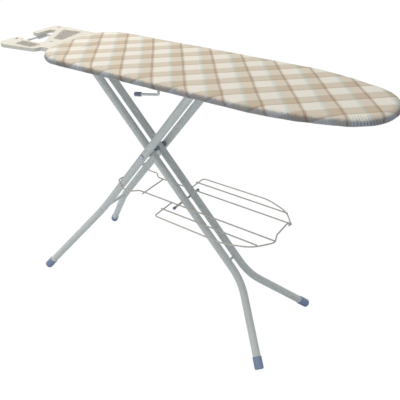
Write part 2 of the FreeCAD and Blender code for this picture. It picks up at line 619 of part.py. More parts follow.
# Return spring: a coil round the axle, its two legs on the rib and on the axle.
COIL_RADIUS, COIL_WIRE, COIL_PITCH, COIL_TURNS = 6, 0.7, 2.2, 5
helix = doc.addObject("Part::Helix", "coil_line")
helix.Pitch = COIL_PITCH
helix.Height = COIL_PITCH * COIL_TURNS
helix.Radius = COIL_RADIUS
helix.Placement = Placement(Vector(AXLE_X, -20, AXLE_Z), Rotation(Vector(0, 0, 1), Vector(0, 1, 0)))
doc.recompute()
helix_start = helix.Shape.Vertexes[0].Point
coil_profile = doc.addObject("Part::Circle", "coil_profile")
coil_profile.Radius = COIL_WIRE
coil_tangent = helix.Shape.Edges[0].tangentAt(helix.Shape.Edges[0].FirstParameter)
coil_profile.Placement = Placement(helix_start, Rotation(Vector(0, 0, 1), coil_tangent))
coil = doc.addObject("Part::Sweep", "lever_spring")
coil.Sections = [coil_profile]
coil.Spine = (helix, ["Edge1"])
coil.Solid = True
coil.Frenet = True
keep("lever_spring", coil)

# ---------------------------------------------------------------- iron rest
REST_TOP, REST_DECK, REST_WALL = SURFACE - 13, 3, 2.5
REST_DEEP = 13
REST_REACH, REST_HALF = 234, 150
REST_END = TAIL_X - REST_REACH


def rest_points(points):
    """Plan points of the rest, from distances along the board's tail edge."""
    return [(TAIL_X + x, y, 0) for x, y in points]


rest_loop = rounded_path(rest_points([
    (-REST_REACH, 27), (-REST_REACH, REST_HALF), (-3, REST_HALF), (-3, -88), (-46, -90),
    (-54, -119), (-REST_REACH, -147), (-REST_REACH, -43), (-203, -45), (-188, -60), (-100, -60),
    (-90, -36), (-104, -18), (-176, 97), (-203, 92), (-203, 27)]),
    [7, 34, 16, 8, 8, 18, 34, 7, 8, 8, 10, 10, 12, 12, 10, 7], closed=True)
GRILLE_STEEL, GRILLE_LEDGE = 1.5, 5


def grille_loop(name, inset):
    """Edge of one hot pad, drawn in by the inset: the far pad is slanted, the near one oblong."""
    if name == "far":
        corners = [(-157, 117), (-66, 130), (-46, 8), (-92, 6)]
    else:
        corners = [(-172, -71), (-73, -71), (-73, -114), (-164, -115)]
    middle = Vector(sum(x for x, _ in corners) / 4, sum(y for _, y in corners) / 4, 0)
    edge = rounded_path(rest_points(corners), 5, closed=True)
    if inset == 0:
        return edge
    ring = Part.Wire([piece.toShape() for piece in edge]).makeOffset2D(-inset, 0)
    return [piece.Curve.trim(piece.FirstParameter, piece.LastParameter) for piece in ring.Edges]


# The side wall hangs from the deck's edge, and a tab hangs from the far arm's end.
deck = plate("rest_deck", [rest_loop], REST_TOP - REST_DECK, REST_DECK)
outer_wire = Part.Wire([edge.toShape() for edge in rest_loop])
wall_ring = Part.Face(outer_wire).cut(Part.Face(outer_wire.makeOffset2D(-REST_WALL, 0))).Faces[0]
wall = doc.addObject("Part::Feature", "rest_wall")
wall.Shape = wall_ring.extrude(Vector(0, 0, REST_DEEP - REST_DECK))
wall.Placement = Placement(Vector(0, 0, REST_TOP - REST_DEEP), Rotation())
tab = box("rest_tab", (3, 46, 30), (REST_END + 9, 40, REST_TOP - 30))
rest_cuts = []
for name in ("far", "near"):
    rest_cuts.append(plate(name + "_recess", [grille_loop(name, 0)], REST_TOP - GRILLE_STEEL, 5))
    rest_cuts.append(plate(name + "_window", [grille_loop(name, GRILLE_LEDGE)], REST_TOP - 10, 12))
for slot_x, slot_y, turn in ((-198, 132, 0), (-212, -66, -50), (-66, -26, -10)):
    slot_edge = rounded_path([(-11, -4, 0), (11, -4, 0), (11, 4, 0), (-11, 4, 0)], 3.9, closed=True)
    slot = plate("rest_slot", [slot_edge], 0, 12)
    slot.Placement = Placement(Vector(TAIL_X + slot_x, slot_y, REST_TOP - 10),
                               Rotation(Vector(0, 0, 1), turn))
    rest_cuts.append(slot)
rest_solid = fuse("rest_solid", [deck, wall, tab])
rim_spots = [edge.toShape().CenterOfMass + Vector(0, 0, REST_TOP) for edge in rest_loop]
rest_soft = soften("rest_soft", rest_solid, 1.6, rim_spots)
keep("iron_rest", cut("iron_rest", rest_soft, rest_cuts))

GRILLE_HOLE, GRILLE_PITCH = 3.6, 11
for name, x_range, y_range in (("far", (-157, -46), (6, 130)), ("near", (-172, -73), (-115, -71))):
    plan = Part.Face(Part.Wire([edge.toShape() for edge in grille_loop(name, 0.2)]))
    field = Part.Face(Part.Wire([edge.toShape() for edge in grille_loop(name, 9)]))
    holes = []
    for i in range(1 + int((x_range[1] - x_range[0]) / GRILLE_PITCH)):
        for j in range(1 + int((y_range[1] - y_range[0]) / GRILLE_PITCH)):
            across_x = TAIL_X + x_range[0] + i * GRILLE_PITCH + 5 * (j % 2)
            spot = Vector(across_x, y_range[0] + j * GRILLE_PITCH, 0)
            if field.isInside(spot, 0.01, True):
                hole = Part.Circle(spot, Vector(0, 0, 1), GRILLE_HOLE)
                holes.append(Part.Face(Part.Wire(hole.toShape())))
    grille = doc.addObject("Part::Feature", "rest_grille_" + name)
    grille.Shape = plan.cut(holes).Faces[0].extrude(Vector(0, 0, GRILLE_STEEL))
    grille.Placement = Placement(Vector(0, 0, REST_TOP - GRILLE_STEEL), Rotation())
    keep("rest_grille_" + name, grille)

# Support wire: a U that runs from under the board, below the rest, and across its end.
SUPPORT_Z, SUPPORT_Y = SKIRT_BASE - 6, 75
support_end = REST_END + 21
support_start = TAIL_X + 130
support_path = [(support_start, -SUPPORT_Y, SUPPORT_Z), (support_end, -SUPPORT_Y, SUPPORT_Z),
                (support_end, SUPPORT_Y, SUPPORT_Z), (support_start, SUPPORT_Y, SUPPORT_Z)]
keep("rest_wire", rod("rest_wire", support_path, 24, "Dims.lever_wire / 2"))


def saddles(node, places, top):
    """Plastic saddles that grip the support wire and reach up to what they hold."""
    made = []
    for x, y in places:
        block = box("saddle_block", (16, 16, top - SUPPORT_Z + 7), (x - 8, y - 8, SUPPORT_Z - 7))
        groove = cylinder("saddle_groove", "Dims.lever_wire / 2", 20,
                          (x - 10, y, SUPPORT_Z), (1, 0, 0))
        made.append(cut("saddle", block, [groove]))
    return keep(node, group(node, made))


saddles("rest_saddles", [(TAIL_X - 27, -SUPPORT_Y), (TAIL_X - 27, SUPPORT_Y)], REST_TOP - REST_DECK)
board_places = [(TAIL_X + x, y) for x in (50, 115) for y in (-SUPPORT_Y, SUPPORT_Y)]
saddles("board_saddles", board_places, STEEL_BASE)

# ---------------------------------------------------------------- check and export
doc.recompute()
for thing in doc.Objects:
    if "Invalid" in thing.State or "Error" in thing.State:
        raise RuntimeError(f"{thing.Label} failed: {thing.State}")
for node, thing in sorted(NODES.items()):
    shape = thing.Shape
    if shape.isNull() or not shape.isValid() or not shape.Solids:
        raise RuntimeError(f"{node} has no valid solid")
    shape.exportStep(f"parts/{node}.step")
whole = Part.makeCompound([thing.Shape for thing in NODES.values()]).BoundBox
print(f"{len(NODES)} nodes; x {whole.XMin:.2f} to {whole.XMax:.2f}, y {whole.YMin:.2f} to {whole.YMax:.2f},"
      f" z {whole.ZMin:.2f} to {whole.ZMax:.2f}")
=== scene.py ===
# %% [markdown]
# # An ironing board, open at its working height
# The steel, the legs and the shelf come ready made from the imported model, each as its own node.
# What is left to make here is everything that a machine shop can't: the fitted cotton cover with
# its gathered hem, the foam under it, and the finish of every surface.
# The frame is loaded first, because every later place and size is read from it.

# %% Load the frame
import json
import math

import bpy
from mathutils import Matrix, Vector, noise


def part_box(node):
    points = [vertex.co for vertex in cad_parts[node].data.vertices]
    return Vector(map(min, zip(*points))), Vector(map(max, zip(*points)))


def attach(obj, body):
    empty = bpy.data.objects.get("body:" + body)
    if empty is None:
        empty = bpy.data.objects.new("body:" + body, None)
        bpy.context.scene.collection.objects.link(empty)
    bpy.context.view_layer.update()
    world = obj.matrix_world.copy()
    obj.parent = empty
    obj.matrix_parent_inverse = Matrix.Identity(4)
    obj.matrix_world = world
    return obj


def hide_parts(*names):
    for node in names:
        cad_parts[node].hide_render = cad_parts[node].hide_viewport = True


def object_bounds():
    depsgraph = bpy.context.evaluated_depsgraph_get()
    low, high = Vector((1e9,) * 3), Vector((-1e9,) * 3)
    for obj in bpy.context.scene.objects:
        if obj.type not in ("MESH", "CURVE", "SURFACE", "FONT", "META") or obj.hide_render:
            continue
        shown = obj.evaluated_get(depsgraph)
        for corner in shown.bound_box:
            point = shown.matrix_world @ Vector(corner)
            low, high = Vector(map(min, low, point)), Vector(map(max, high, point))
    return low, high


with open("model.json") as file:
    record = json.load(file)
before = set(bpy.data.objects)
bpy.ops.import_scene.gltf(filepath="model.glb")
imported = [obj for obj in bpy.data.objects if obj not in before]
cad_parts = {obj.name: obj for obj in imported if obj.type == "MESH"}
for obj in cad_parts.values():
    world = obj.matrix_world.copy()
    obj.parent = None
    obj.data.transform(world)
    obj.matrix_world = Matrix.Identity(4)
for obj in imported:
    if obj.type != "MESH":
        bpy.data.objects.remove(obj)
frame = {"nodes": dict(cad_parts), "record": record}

cad_low, cad_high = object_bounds()
print("frame loaded:", len(frame["nodes"]), "nodes,", round(cad_high.x - cad_low.x, 3), "m long")

# %% [markdown]
# ## The camera
# A board like this is shown from its nose end, looking down on the working surface, so that the
# cover, the crossed legs and the shelf all show. The camera could be aimed with a constraint. Its
# directions are worked out instead, because a small roll and a small offset of the aim are then
# plain numbers, and nothing has to be evaluated later.

# %% Place the camera
CAMERA_PLACE = Vector((0.996, -1.2925, 1.4964))
CAMERA_TURN = math.radians(34.75)
CAMERA_TILT = math.radians(32.64)
CAMERA_ROLL = math.radians(-0.87)
LENS_MM, SENSOR_MM = 46.4, 36.0
AIM_RIGHT, AIM_UP = -0.0037, -0.0041


def camera_axes(turn, tilt, roll):
    """Forward, right and up directions of a camera that looks down by tilt."""
    ahead = Vector((-math.sin(turn) * math.cos(tilt), math.cos(turn) * math.cos(tilt), -math.sin(tilt)))
    right = Vector((math.cos(turn), math.sin(turn), 0))
    up = right.cross(ahead)
    rolled_right = right * math.cos(roll) + up * math.sin(roll)
    rolled_up = up * math.cos(roll) - right * math.sin(roll)
    return ahead, rolled_right, rolled_up


ahead, right, up = camera_axes(CAMERA_TURN, CAMERA_TILT, CAMERA_ROLL)
ahead = (ahead + right * AIM_RIGHT + up * AIM_UP).normalized()
right = ahead.cross(up).normalized()
up = right.cross(ahead)
camera_data = bpy.data.cameras.new("camera")
camera_data.lens = LENS_MM
camera_data.sensor_width = SENSOR_MM
camera = bpy.data.objects.new("camera", camera_data)
facing = Matrix((right, up, -ahead)).transposed().to_4x4()
camera.matrix_world = Matrix.Translation(CAMERA_PLACE) @ facing
bpy.context.scene.collection.objects.link(camera)
bpy.context.scene.camera = camera
print("camera stands", round(CAMERA_PLACE.z, 2), "m above the floor")

# %% [markdown]
# ## The board's outline
# The cover, the foam and the hem elastic all follow one line: a short tail edge, two round
# corners, two straight sides, two long tapers and a round nose. Each piece could carry a hand
# drawn curve. One function that gives points and outward directions serves all three, and it
# puts the points close together only where the cloth is gathered.

# %% Points along half of the outline
BOARD_LENGTH, BOARD_HALF = 1.200, 0.190
TAIL_RADIUS, TAPER_RADIUS, TAPER_START = 0.130, 0.725, 0.830
TAIL_STEP, CORNER_STEP, SIDE_STEP, TAPER_STEP, NOSE_STEP = 0.005, 0.0018, 0.005, 0.004, 0.0015
TAIL_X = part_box("cover")[0].x


def half_outline():
    """(point, outward, run) from the middle of the tail round to the middle of the nose."""
    drop = TAPER_RADIUS - BOARD_HALF
    reach = BOARD_LENGTH - TAPER_START
    nose = (TAPER_RADIUS**2 - reach**2 - drop**2) / (2 * (TAPER_RADIUS - reach))
    meet = math.atan2(drop, BOARD_LENGTH - nose - TAPER_START)
    found = [(Vector((0, 0, 0)), Vector((-1, 0, 0)), "tail")]

    def line(start, end, outward, step, run):
        count = math.ceil((end - start).length / step)
        for i in range(1, count + 1):
            found.append((start.lerp(end, i / count), outward, run))

    def arc(centre, radius, first, last, step, run):
        count = math.ceil(radius * abs(last - first) / step)
        for i in range(1, count + 1):
            angle = first + (last - first) * i / count
            outward = Vector((math.cos(angle), math.sin(angle), 0))
            found.append((centre + outward * radius, outward, run))

    corner_y = BOARD_HALF - TAIL_RADIUS
    line(Vector((0, 0, 0)), Vector((0, corner_y, 0)), Vector((-1, 0, 0)), TAIL_STEP, "tail")
    arc(Vector((TAIL_RADIUS, corner_y, 0)), TAIL_RADIUS, math.pi, math.pi / 2, CORNER_STEP, "corner")
    line(Vector((TAIL_RADIUS, BOARD_HALF, 0)), Vector((TAPER_START, BOARD_HALF, 0)),
         Vector((0, 1, 0)), SIDE_STEP, "side")
    arc(Vector((TAPER_START, -drop, 0)), TAPER_RADIUS, math.pi / 2, meet, TAPER_STEP, "taper")
    arc(Vector((BOARD_LENGTH - nose, 0, 0)), nose, meet, 0, NOSE_STEP, "nose")
    return [(point + Vector((TAIL_X, 0, 0)), outward, run) for point, outward, run in found]


HALF = half_outline()
LAST = len(HALF) - 1
MIRRORED = [(Vector((edge.x, -edge.y, 0)), Vector((outward.x, -outward.y, 0)), run)
            for edge, outward, run in reversed(HALF[1:-1])]
LOOP = HALF + MIRRORED
ALONG = [0.0]
for (here, _, _), (there, _, _) in zip(LOOP, LOOP[1:]):
    ALONG.append(ALONG[-1] + (there - here).length)
TAIL_COUNT = sum(1 for _, _, run in HALF if run == "tail") - 1
print("outline:", len(LOOP), "points,", round(ALONG[-1], 3), "m round")

# %% [markdown]
# ## A mesh from points
# Every soft piece here is worked out point by point. A mesh can also carry values on its points,
# called attributes, which a shader reads later: the cover uses them to remember where each point
# lay on the flat cloth.

# %% Make a smooth mesh


def add_mesh(name, points, faces, extra=()):
    """A smooth mesh object, with named vector attributes on its points."""
    mesh = bpy.data.meshes.new(name)
    mesh.from_pydata(points, [], faces)
    for label, values in extra:
        attribute = mesh.attributes.new(label, "FLOAT_VECTOR", "POINT")
        attribute.data.foreach_set("vector", [c for v in values for c in v])
    mesh.shade_smooth()
    made = bpy.data.objects.new(name, mesh)
    bpy.context.scene.collection.objects.link(made)
    return made


print("meshes so far:", len(bpy.data.meshes))

# %% [markdown]
# ## Closing the middle
# A ring of points round the board leaves a hole in the middle. One many-sided face would fill it,
# but it would shade badly and couldn't sag. Rows of quads from side to side give the top points of
# its own, and they meet the ring point for point, so there is no seam.

# %% Fill the inside of a ring


def middle_rows(ring, points, faces, upward, flat):
    """Closes the inside of a ring with rows of quads from side to side, tail to nose."""
    size = len(LOOP)
    across = 2 * TAIL_COUNT
    row = [ring + (TAIL_COUNT - i) % size for i in range(across + 1)]
    for k in range(TAIL_COUNT + 1, LAST + 1):
        if k < LAST:
            near, far = ring + k, ring + size - k
            inner = []
            for i in range(1, across):
                inner.append(len(points))
                points.append(points[near].lerp(points[far], i / across))
                flat.append(flat[near].lerp(flat[far], i / across))
            new_row = [near, *inner, far]
        else:
            new_row = [ring + k] * (across + 1)
        for i in range(across):
            face = [row[i], row[i + 1], new_row[i + 1], new_row[i]]
            face = list(dict.fromkeys(face))
            faces.append(face if upward else face[::-1])
        row = new_row


print("rows across the middle:", 2 * TAIL_COUNT)

# %% [markdown]
# ## A skin over the outline
# Cloth, elastic and foam are each a line on a cross section, swept round the outline. A curve with
# a bevel would do it, but a bevel can't close the middle of the top or remember the flat cloth. So
# the sweep is written out: rings of points joined by quads, and a filled middle where it is asked
# for. Each point also knows its drop, which is how much cloth lies between it and the last ring.

# %% Sweep a cross section round the outline


def drops_of(section):
    """The length of cloth from each step of a cross section to its last step."""
    drops = [0.0] * len(section)
    for j in range(len(section) - 2, -1, -1):
        (inset, height), (next_inset, next_height) = section[j], section[j + 1]
        drops[j] = drops[j + 1] + math.hypot(inset - next_inset, height - next_height)
    return drops


def swept_skin(section, shape, start_fill=False, end_fill=False, closed=False):
    """Rings that follow section, a list of (inset, height), with each point moved by shape()."""
    size = len(LOOP)
    drops = drops_of(section)
    points, flat, faces = [], [], []
    for (inset, height), drop in zip(section, drops):
        for (edge, outward, _), along in zip(LOOP, ALONG):
            place = edge - outward * inset + Vector((0, 0, height))
            cloth = edge + outward * (drop - section[-1][0])
            points.append(shape(place, outward, along, drop))
            flat.append(Vector((cloth.x, cloth.y, drop)))
    rings = len(section)
    for j in range(rings if closed else rings - 1):
        low, high = j * size, (j + 1) % rings * size
        for k in range(size):
            after = (k + 1) % size
            faces.append([low + k, high + k, high + after, low + after])
    if end_fill:
        middle_rows((rings - 1) * size, points, faces, True, flat)
    if start_fill:
        middle_rows(0, points, faces, False, flat)
    return points, faces, flat, drops[0]


print("points in a ring:", len(LOOP))

# %% [markdown]
# ## The fitted cover
# The cover is one piece of cotton, cut larger than the board and drawn tight under it by an
# elastic in its hem. On the top it lies flat. Round the nose and the tail corners there is more
# cloth than edge, so it falls into fine gathers, and along the straight sides it only puckers a
# little between pulls. A cloth simulation is the other way to get such folds, but it would need
# many points to hold a gather 9 mm wide. Here the gathers are a wave along the edge that starts
# just inside it and grows down the side, bent out of step by noise, so that no two are alike.

# %% Decide where the cloth is gathered
GATHERING = {"tail": 0.55, "corner": 0.8, "side": 0.12, "taper": 0.16, "nose": 1.0}
BLEND_LENGTH = 0.050
BLEND_POINTS, BLEND_STEP = 30, 3


def gather_strength():
    """How deep the gathers are at each outline point, smoothed across the run ends."""
    raw = [GATHERING[run] for _, _, run in LOOP]
    smooth = []
    for k, here in enumerate(ALONG):
        total, weight = 0.0, 0.0
        for step in range(-BLEND_POINTS, BLEND_POINTS + 1, BLEND_STEP):
            other = (k + step) % len(LOOP)
            share = max(0.0, 1 - abs(ALONG[other] - here) / BLEND_LENGTH)
            total += raw[other] * share
            weight += share
        smooth.append(total / weight)
    return smooth


STRENGTH = dict(zip(ALONG, gather_strength()))
print("gathers run", round(min(STRENGTH.values()), 2), "to", round(max(STRENGTH.values()), 2))

# %% [markdown]
# ## How the cotton falls
# Four small movements make the cloth look sewn and worn: the gathers, wider puckers between the
# elastic's pulls, a hem that lifts here and there, and a top that isn't quite flat. Each reads its
# own rows of Blender's smooth noise, so that no two of them rise and fall together. Rates are in
# bumps per metre, widths and depths are in metres, and the slant is how many radians the wave of
# gathers is carried along for each metre of cloth down the side.

# %% Shape the gathers and puckers
TOP_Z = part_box("cover")[1].z
HEM_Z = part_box("cover")[0].z
EDGE_INSET, INNER_INSET = 0.022, 0.125
ROLL_LONG = 0.030
GATHER_WIDTH, GATHER_DEPTH, GATHER_SLANT = 0.0085, 0.0013, 170
GATHER_START, GATHER_GROW = -0.012, 0.032
OVERTONE = 0.3
WANDER_RATE, WANDER_ROW, WANDER_PHASE = 22, 3.1, 2.6
UNEVEN_RATE, UNEVEN_ROW, LEAST_DEPTH, DEPTH_SWING = 38, 7.7, 0.55, 0.9
PUCKER_WIDTH, PUCKER_DEPTH, PUCKER_DROP_RATE, PUCKER_ROW = 0.045, 0.0012, 12, 1.3
DRAWN_IN = 0.0005
HEM_LIFT, HEM_GROW, HEM_ROW = 0.0022, 0.010, 5.9
SLACK_RATE, SLACK_ROW, SLACK_HIGH = 9, 0.4, 0.0004


def ease(value):
    """0 below 0, 1 above 1, and a smooth step between."""
    value = min(1.0, max(0.0, value))
    return value * value * (3 - 2 * value)


def gather_at(along, drop):
    """How far out the cloth stands in a gather, counted in gather depths."""
    fall = ease((drop - (INNER_INSET - EDGE_INSET) - GATHER_START) / GATHER_GROW)
    wander = noise.noise(Vector((along * WANDER_RATE, WANDER_ROW, 0))) * WANDER_PHASE
    phase = 2 * math.pi * along / GATHER_WIDTH + wander + drop * GATHER_SLANT
    uneven = LEAST_DEPTH + DEPTH_SWING * abs(noise.noise(Vector((along * UNEVEN_RATE, UNEVEN_ROW, 0))))
    return (math.sin(phase) + OVERTONE * math.sin(2 * phase)) * STRENGTH[along] * uneven * fall


def cotton_falls(place, outward, along, drop):
    """Moves a point of the cover by its gathers, its puckers and the slack of its top."""
    beyond = drop - (INNER_INSET - EDGE_INSET)
    turned = min(1.0, max(0.0, beyond / ROLL_LONG)) * math.pi / 2
    away = outward * math.sin(turned) + Vector((0, 0, math.cos(turned)))
    fall = ease((beyond - GATHER_START) / GATHER_GROW)
    gather = gather_at(along, drop) * GATHER_DEPTH
    bumps = along / PUCKER_WIDTH
    pucker = noise.noise(Vector((bumps, drop * PUCKER_DROP_RATE, PUCKER_ROW))) * PUCKER_DEPTH * fall
    low_edge = ease((beyond - ROLL_LONG) / HEM_GROW)
    lift = max(0.0, noise.noise(Vector((bumps, HEM_ROW, 0)))) * HEM_LIFT * low_edge
    slack = noise.noise(Vector((place.x * SLACK_RATE, place.y * SLACK_RATE, SLACK_ROW))) * SLACK_HIGH
    return place + away * (gather + pucker - DRAWN_IN * fall) + Vector((0, 0, lift + slack))


near_edge = max(abs(gather_at(along, INNER_INSET)) for along in ALONG) * GATHER_DEPTH
print("deepest gather near the edge:", round(near_edge * 1000, 1), "mm")

# %% [markdown]
# ## Sweeping the cover
# The cross section is followed as the cloth lies: from the hem's curled edge, flat under the rim,
# up the side, over the rolled edge, and in across the top. The hem is a short list of points,
# because a sewn hem is no neat curve. The roll is a quarter of an ellipse. The cut size is what the
# cloth measures when this line is laid flat.

# %% Sweep the cover
HEM_SECTION = [
    (0.0208, 0.0048), (0.0222, 0.0058), (0.0240, 0.0060), (0.0260, 0.0054), (0.0274, 0.0040),
    (0.0276, 0.0024), (0.0268, 0.0012), (0.0250, 0.0005), (0.0222, 0.0003), (0.0180, 0.0002),
    (0.0130, 0.0002), (0.0085, 0.0004), (0.0052, 0.0010), (0.0034, 0.0020), (0.0020, 0.0034),
    (0.0009, 0.0052), (0.0002, 0.0072), (0.0, 0.0090),
]
ROLL_HIGH, ROLL_STEPS = 0.0160, 10
INNER_RINGS = 16
cover_section = [(inset, HEM_Z + height) for inset, height in HEM_SECTION]
for step in range(1, ROLL_STEPS + 1):
    angle = math.pi / 2 * step / ROLL_STEPS
    cover_section.append((EDGE_INSET * (1 - math.cos(angle)), TOP_Z - ROLL_HIGH * (1 - math.sin(angle))))
for step in range(1, INNER_RINGS + 1):
    cover_section.append((EDGE_INSET + (INNER_INSET - EDGE_INSET) * step / INNER_RINGS, TOP_Z))


points, faces, flat, whole_drop = swept_skin(cover_section, cotton_falls, end_fill=True)
# The seam attribute keeps each point's place along the edge, its drop, and the depth of its gather. The
# shader uses the depth for painted shade in the bottoms of the gathers.
seam = []
for i, spot in enumerate(flat):
    along = ALONG[i % len(LOOP)]
    on_ring = i < len(cover_section) * len(LOOP)
    seam.append((along, spot.z, gather_at(along, spot.z) if on_ring else 0))
cloth_places = [(spot.x, spot.y, 0) for spot in flat]
cover = add_mesh("cotton_cover", points, faces, [("cloth", cloth_places), ("seam", seam)])
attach(cover, "board")
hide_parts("cover")

# %% [markdown]
# ## The elastic in the hem
# The elastic is a thin braided cord that lies in the curl of the hem and draws the cover tight.
# Little of it can be seen, but it is what holds the cover on. It is swept like the cover, as a
# closed ring of small round section, and it kinks where the gathers bunch on it.

# %% Sweep the elastic
ELASTIC_RADIUS, ELASTIC_SIDES = 0.0012, 10
CORD_HALF, KINK = 0.0015, 0.0003
cord_low, cord_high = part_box("hem_cord")
cord_inset = (cord_low.x - TAIL_X) + CORD_HALF
cord_height = (cord_low.z + cord_high.z) / 2
elastic_section = []
for side in range(ELASTIC_SIDES):
    angle = 2 * math.pi * side / ELASTIC_SIDES
    elastic_section.append((cord_inset + ELASTIC_RADIUS * math.cos(angle),
                            cord_height + ELASTIC_RADIUS * math.sin(angle)))


def elastic_bunches(place, outward, along, drop):
    """The cord kinks a little with every gather that it holds."""
    kink = math.sin(2 * math.pi * along / GATHER_WIDTH) * KINK * STRENGTH[along]
    return place + outward * kink


points, faces, _, _ = swept_skin(elastic_section, elastic_bunches, closed=True)
elastic = add_mesh("hem_elastic_cord", points, faces)
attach(elastic, "board")
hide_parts("hem_cord")
print("elastic:", len(points), "points")

# %% [markdown]
# ## The foam
# The foam is a flat pad cut to the board, and what gives the cover its soft look. It is swept as a
# slab whose top rounds down to a thin edge, with both faces filled. Its top is a little uneven,
# because foam that has been leaned on doesn't come back quite level.

# %% Sweep the foam
WORN_RATE, WORN_ROW, WORN_DEPTH = 11, 6.0, 0.0003
foam_low, foam_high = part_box("foam_pad")
foam_thick = foam_high.z - foam_low.z
FOAM_EDGE = [
    (0.1200, 0.0), (0.0600, 0.0), (0.0200, 0.0), (0.0090, 0.0), (0.0056, 0.0003),
    (0.0046, 0.0014), (0.0052, 0.0030), (0.0072, 0.0046), (0.0100, 0.0058), (0.0135, 0.0066),
    (0.0190, 0.0071), (0.0300, 0.0074), (0.0600, 0.0075), (0.1200, 0.0075),
]
foam_section = [(inset, foam_low.z + height) for inset, height in FOAM_EDGE]


def foam_settles(place, outward, along, drop):
    """The pad's top is not quite level where it has been leaned on."""
    worn = noise.noise(Vector((place.x * WORN_RATE, place.y * WORN_RATE, WORN_ROW))) * WORN_DEPTH
    raised = (place.z - foam_low.z) / foam_thick
    return place + Vector((0, 0, (worn - WORN_DEPTH) * raised))


points, faces, _, _ = swept_skin(foam_section, foam_settles, start_fill=True, end_fill=True)
foam = add_mesh("foam_layer", points, faces)
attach(foam, "board")
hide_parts("foam_pad")
print("foam:", round(foam_thick * 1000, 1), "mm thick in the packed model")

# %% [markdown]
# ## The cut of the cloth
# The cut is the outline grown by the cloth that turns over the edge, so it isn't a rectangle.

# %% [markdown]
# ## Nodes for finishes
# A finish is a small graph of nodes. A few short helpers keep the graphs readable: one puts a
# node down with its settings, one does a sum, and one mixes two colours. A number in the graph is
# set on the node's own socket, so a reader can find it there.

# %% Put nodes down and link them


def feed(tree, socket, value):
    """Links an output to a socket, or sets the socket to a plain number or colour."""
    if isinstance(value, bpy.types.NodeSocket):
        tree.links.new(value, socket)
    else:
        socket.default_value = value


def put(tree, kind, settings=None, **inputs):
    """Adds a node. Its settings are a dictionary, and its inputs are named with underscores."""
    node = tree.nodes.new(kind)
    for key, value in (settings or {}).items():
        setattr(node, key, value)
    for key, value in inputs.items():
        feed(tree, node.inputs[key.replace("_", " ")], value)
    return node


def reckon(tree, operation, *values, clamp=False):
    """One Math node."""
    node = put(tree, "ShaderNodeMath", {"operation": operation, "use_clamp": clamp})
    for socket, value in zip(node.inputs, values):
        feed(tree, socket, value)
    return node.outputs[0]


# The Mix node repeats its sockets for each kind of value. These are the ones for colours.
MIX_SHARE, MIX_FIRST, MIX_SECOND, MIX_RESULT = 0, 6, 7, 2


def blend_colours(tree, how, share, first, second):
    """One colour Mix node: how is the blend type, such as MIX or MULTIPLY."""
    node = put(tree, "ShaderNodeMix", {"data_type": "RGBA", "blend_type": how})
    feed(tree, node.inputs[MIX_SHARE], share)
    feed(tree, node.inputs[MIX_FIRST], first)
    feed(tree, node.inputs[MIX_SECOND], second)
    return node.outputs[MIX_RESULT]


print("colour blends go through sockets", MIX_FIRST, "and", MIX_SECOND)

# %% [markdown]
# ## Groups
# A group is a graph that can be placed many times, with its own values each time.

# %% Make and place groups


def new_group(name, inputs, outputs):
    """An empty shader node group with named sockets, and its input and output nodes."""
    group = bpy.data.node_groups.new(name, "ShaderNodeTree")
    for label, kind, default in inputs:
        socket = group.interface.new_socket(name=label, in_out="INPUT", socket_type=kind)
        if default is not None:
            socket.default_value = default
    for label, kind in outputs:
        group.interface.new_socket(name=label, in_out="OUTPUT", socket_type=kind)
    return group, put(group, "NodeGroupInput"), put(group, "NodeGroupOutput")


def use_group(tree, group, **inputs):
    """Places a group in a material, with this material's own values."""
    node = tree.nodes.new("ShaderNodeGroup")
    node.node_tree = group
    for key, value in inputs.items():
        feed(tree, node.inputs[key.replace("_", " ")], value)
    return node


print("groups so far:", len(bpy.data.node_groups))

# %% [markdown]
# ## Ramps, colours and materials
# Colours are easiest to choose as they look on a screen, from 0 to 255, but shaders reckon in
# linear light, so they are turned over once, here. Each material starts with an empty Principled
# shader, and one more helper gives it a bump.

# %% Make ramps and materials


def ramp(tree, value, stops):
    """A colour ramp from (place, colour) stops."""
    node = put(tree, "ShaderNodeValToRGB", Fac=value)
    elements = node.color_ramp.elements
    while len(elements) < len(stops):
        elements.new(0.5)
    # All the places come before the colours, because a ramp sorts its stops again as they move.
    for element, (place, _) in zip(elements, stops):
        element.position = place
    for element, (_, colour) in zip(elements, stops):
        element.color = colour
    return node.outputs["Color"]


def srgb(red, green, blue):
    """A colour given as 0 to 255 on screen, as the linear colour that shaders use."""
    def linear(level):
        level /= 255
        return level / 12.92 if level <= 0.04045 else ((level + 0.055) / 1.055) ** 2.4
    return (linear(red), linear(green), linear(blue), 1.0)


def new_material(name):
    """A material with an empty Principled shader, ready for links."""
    material = bpy.data.materials.new(name)
    material.use_nodes = True
    tree = material.node_tree
    tree.nodes.clear()
    shader = tree.nodes.new("ShaderNodeBsdfPrincipled")
    output = tree.nodes.new("ShaderNodeOutputMaterial")
    tree.links.new(shader.outputs["BSDF"], output.inputs["Surface"])
    return material, tree, shader


def raise_surface(tree, shader, height, strength, distance):
    """Gives a shader a bump, so that light catches detail too fine to model."""
    bump = put(tree, "ShaderNodeBump", Strength=strength, Distance=distance, Height=height)
    feed(tree, shader.inputs["Normal"], bump.outputs["Normal"])


print("middle grey, as shaders see it:", round(srgb(128, 128, 128)[0], 3))

# %% [markdown]
# ## Effects as groups: the weave
# Some effects come back in many finishes. Each is a group, built once, that gives a height or a
# mask, and the material decides what that does to its colour. The first is a plain weave: two sets
# of threads that pass over and under each other are two sine waves multiplied, with the uneven
# thickness of spun yarn worked in as noise.

# %% Weave of threads


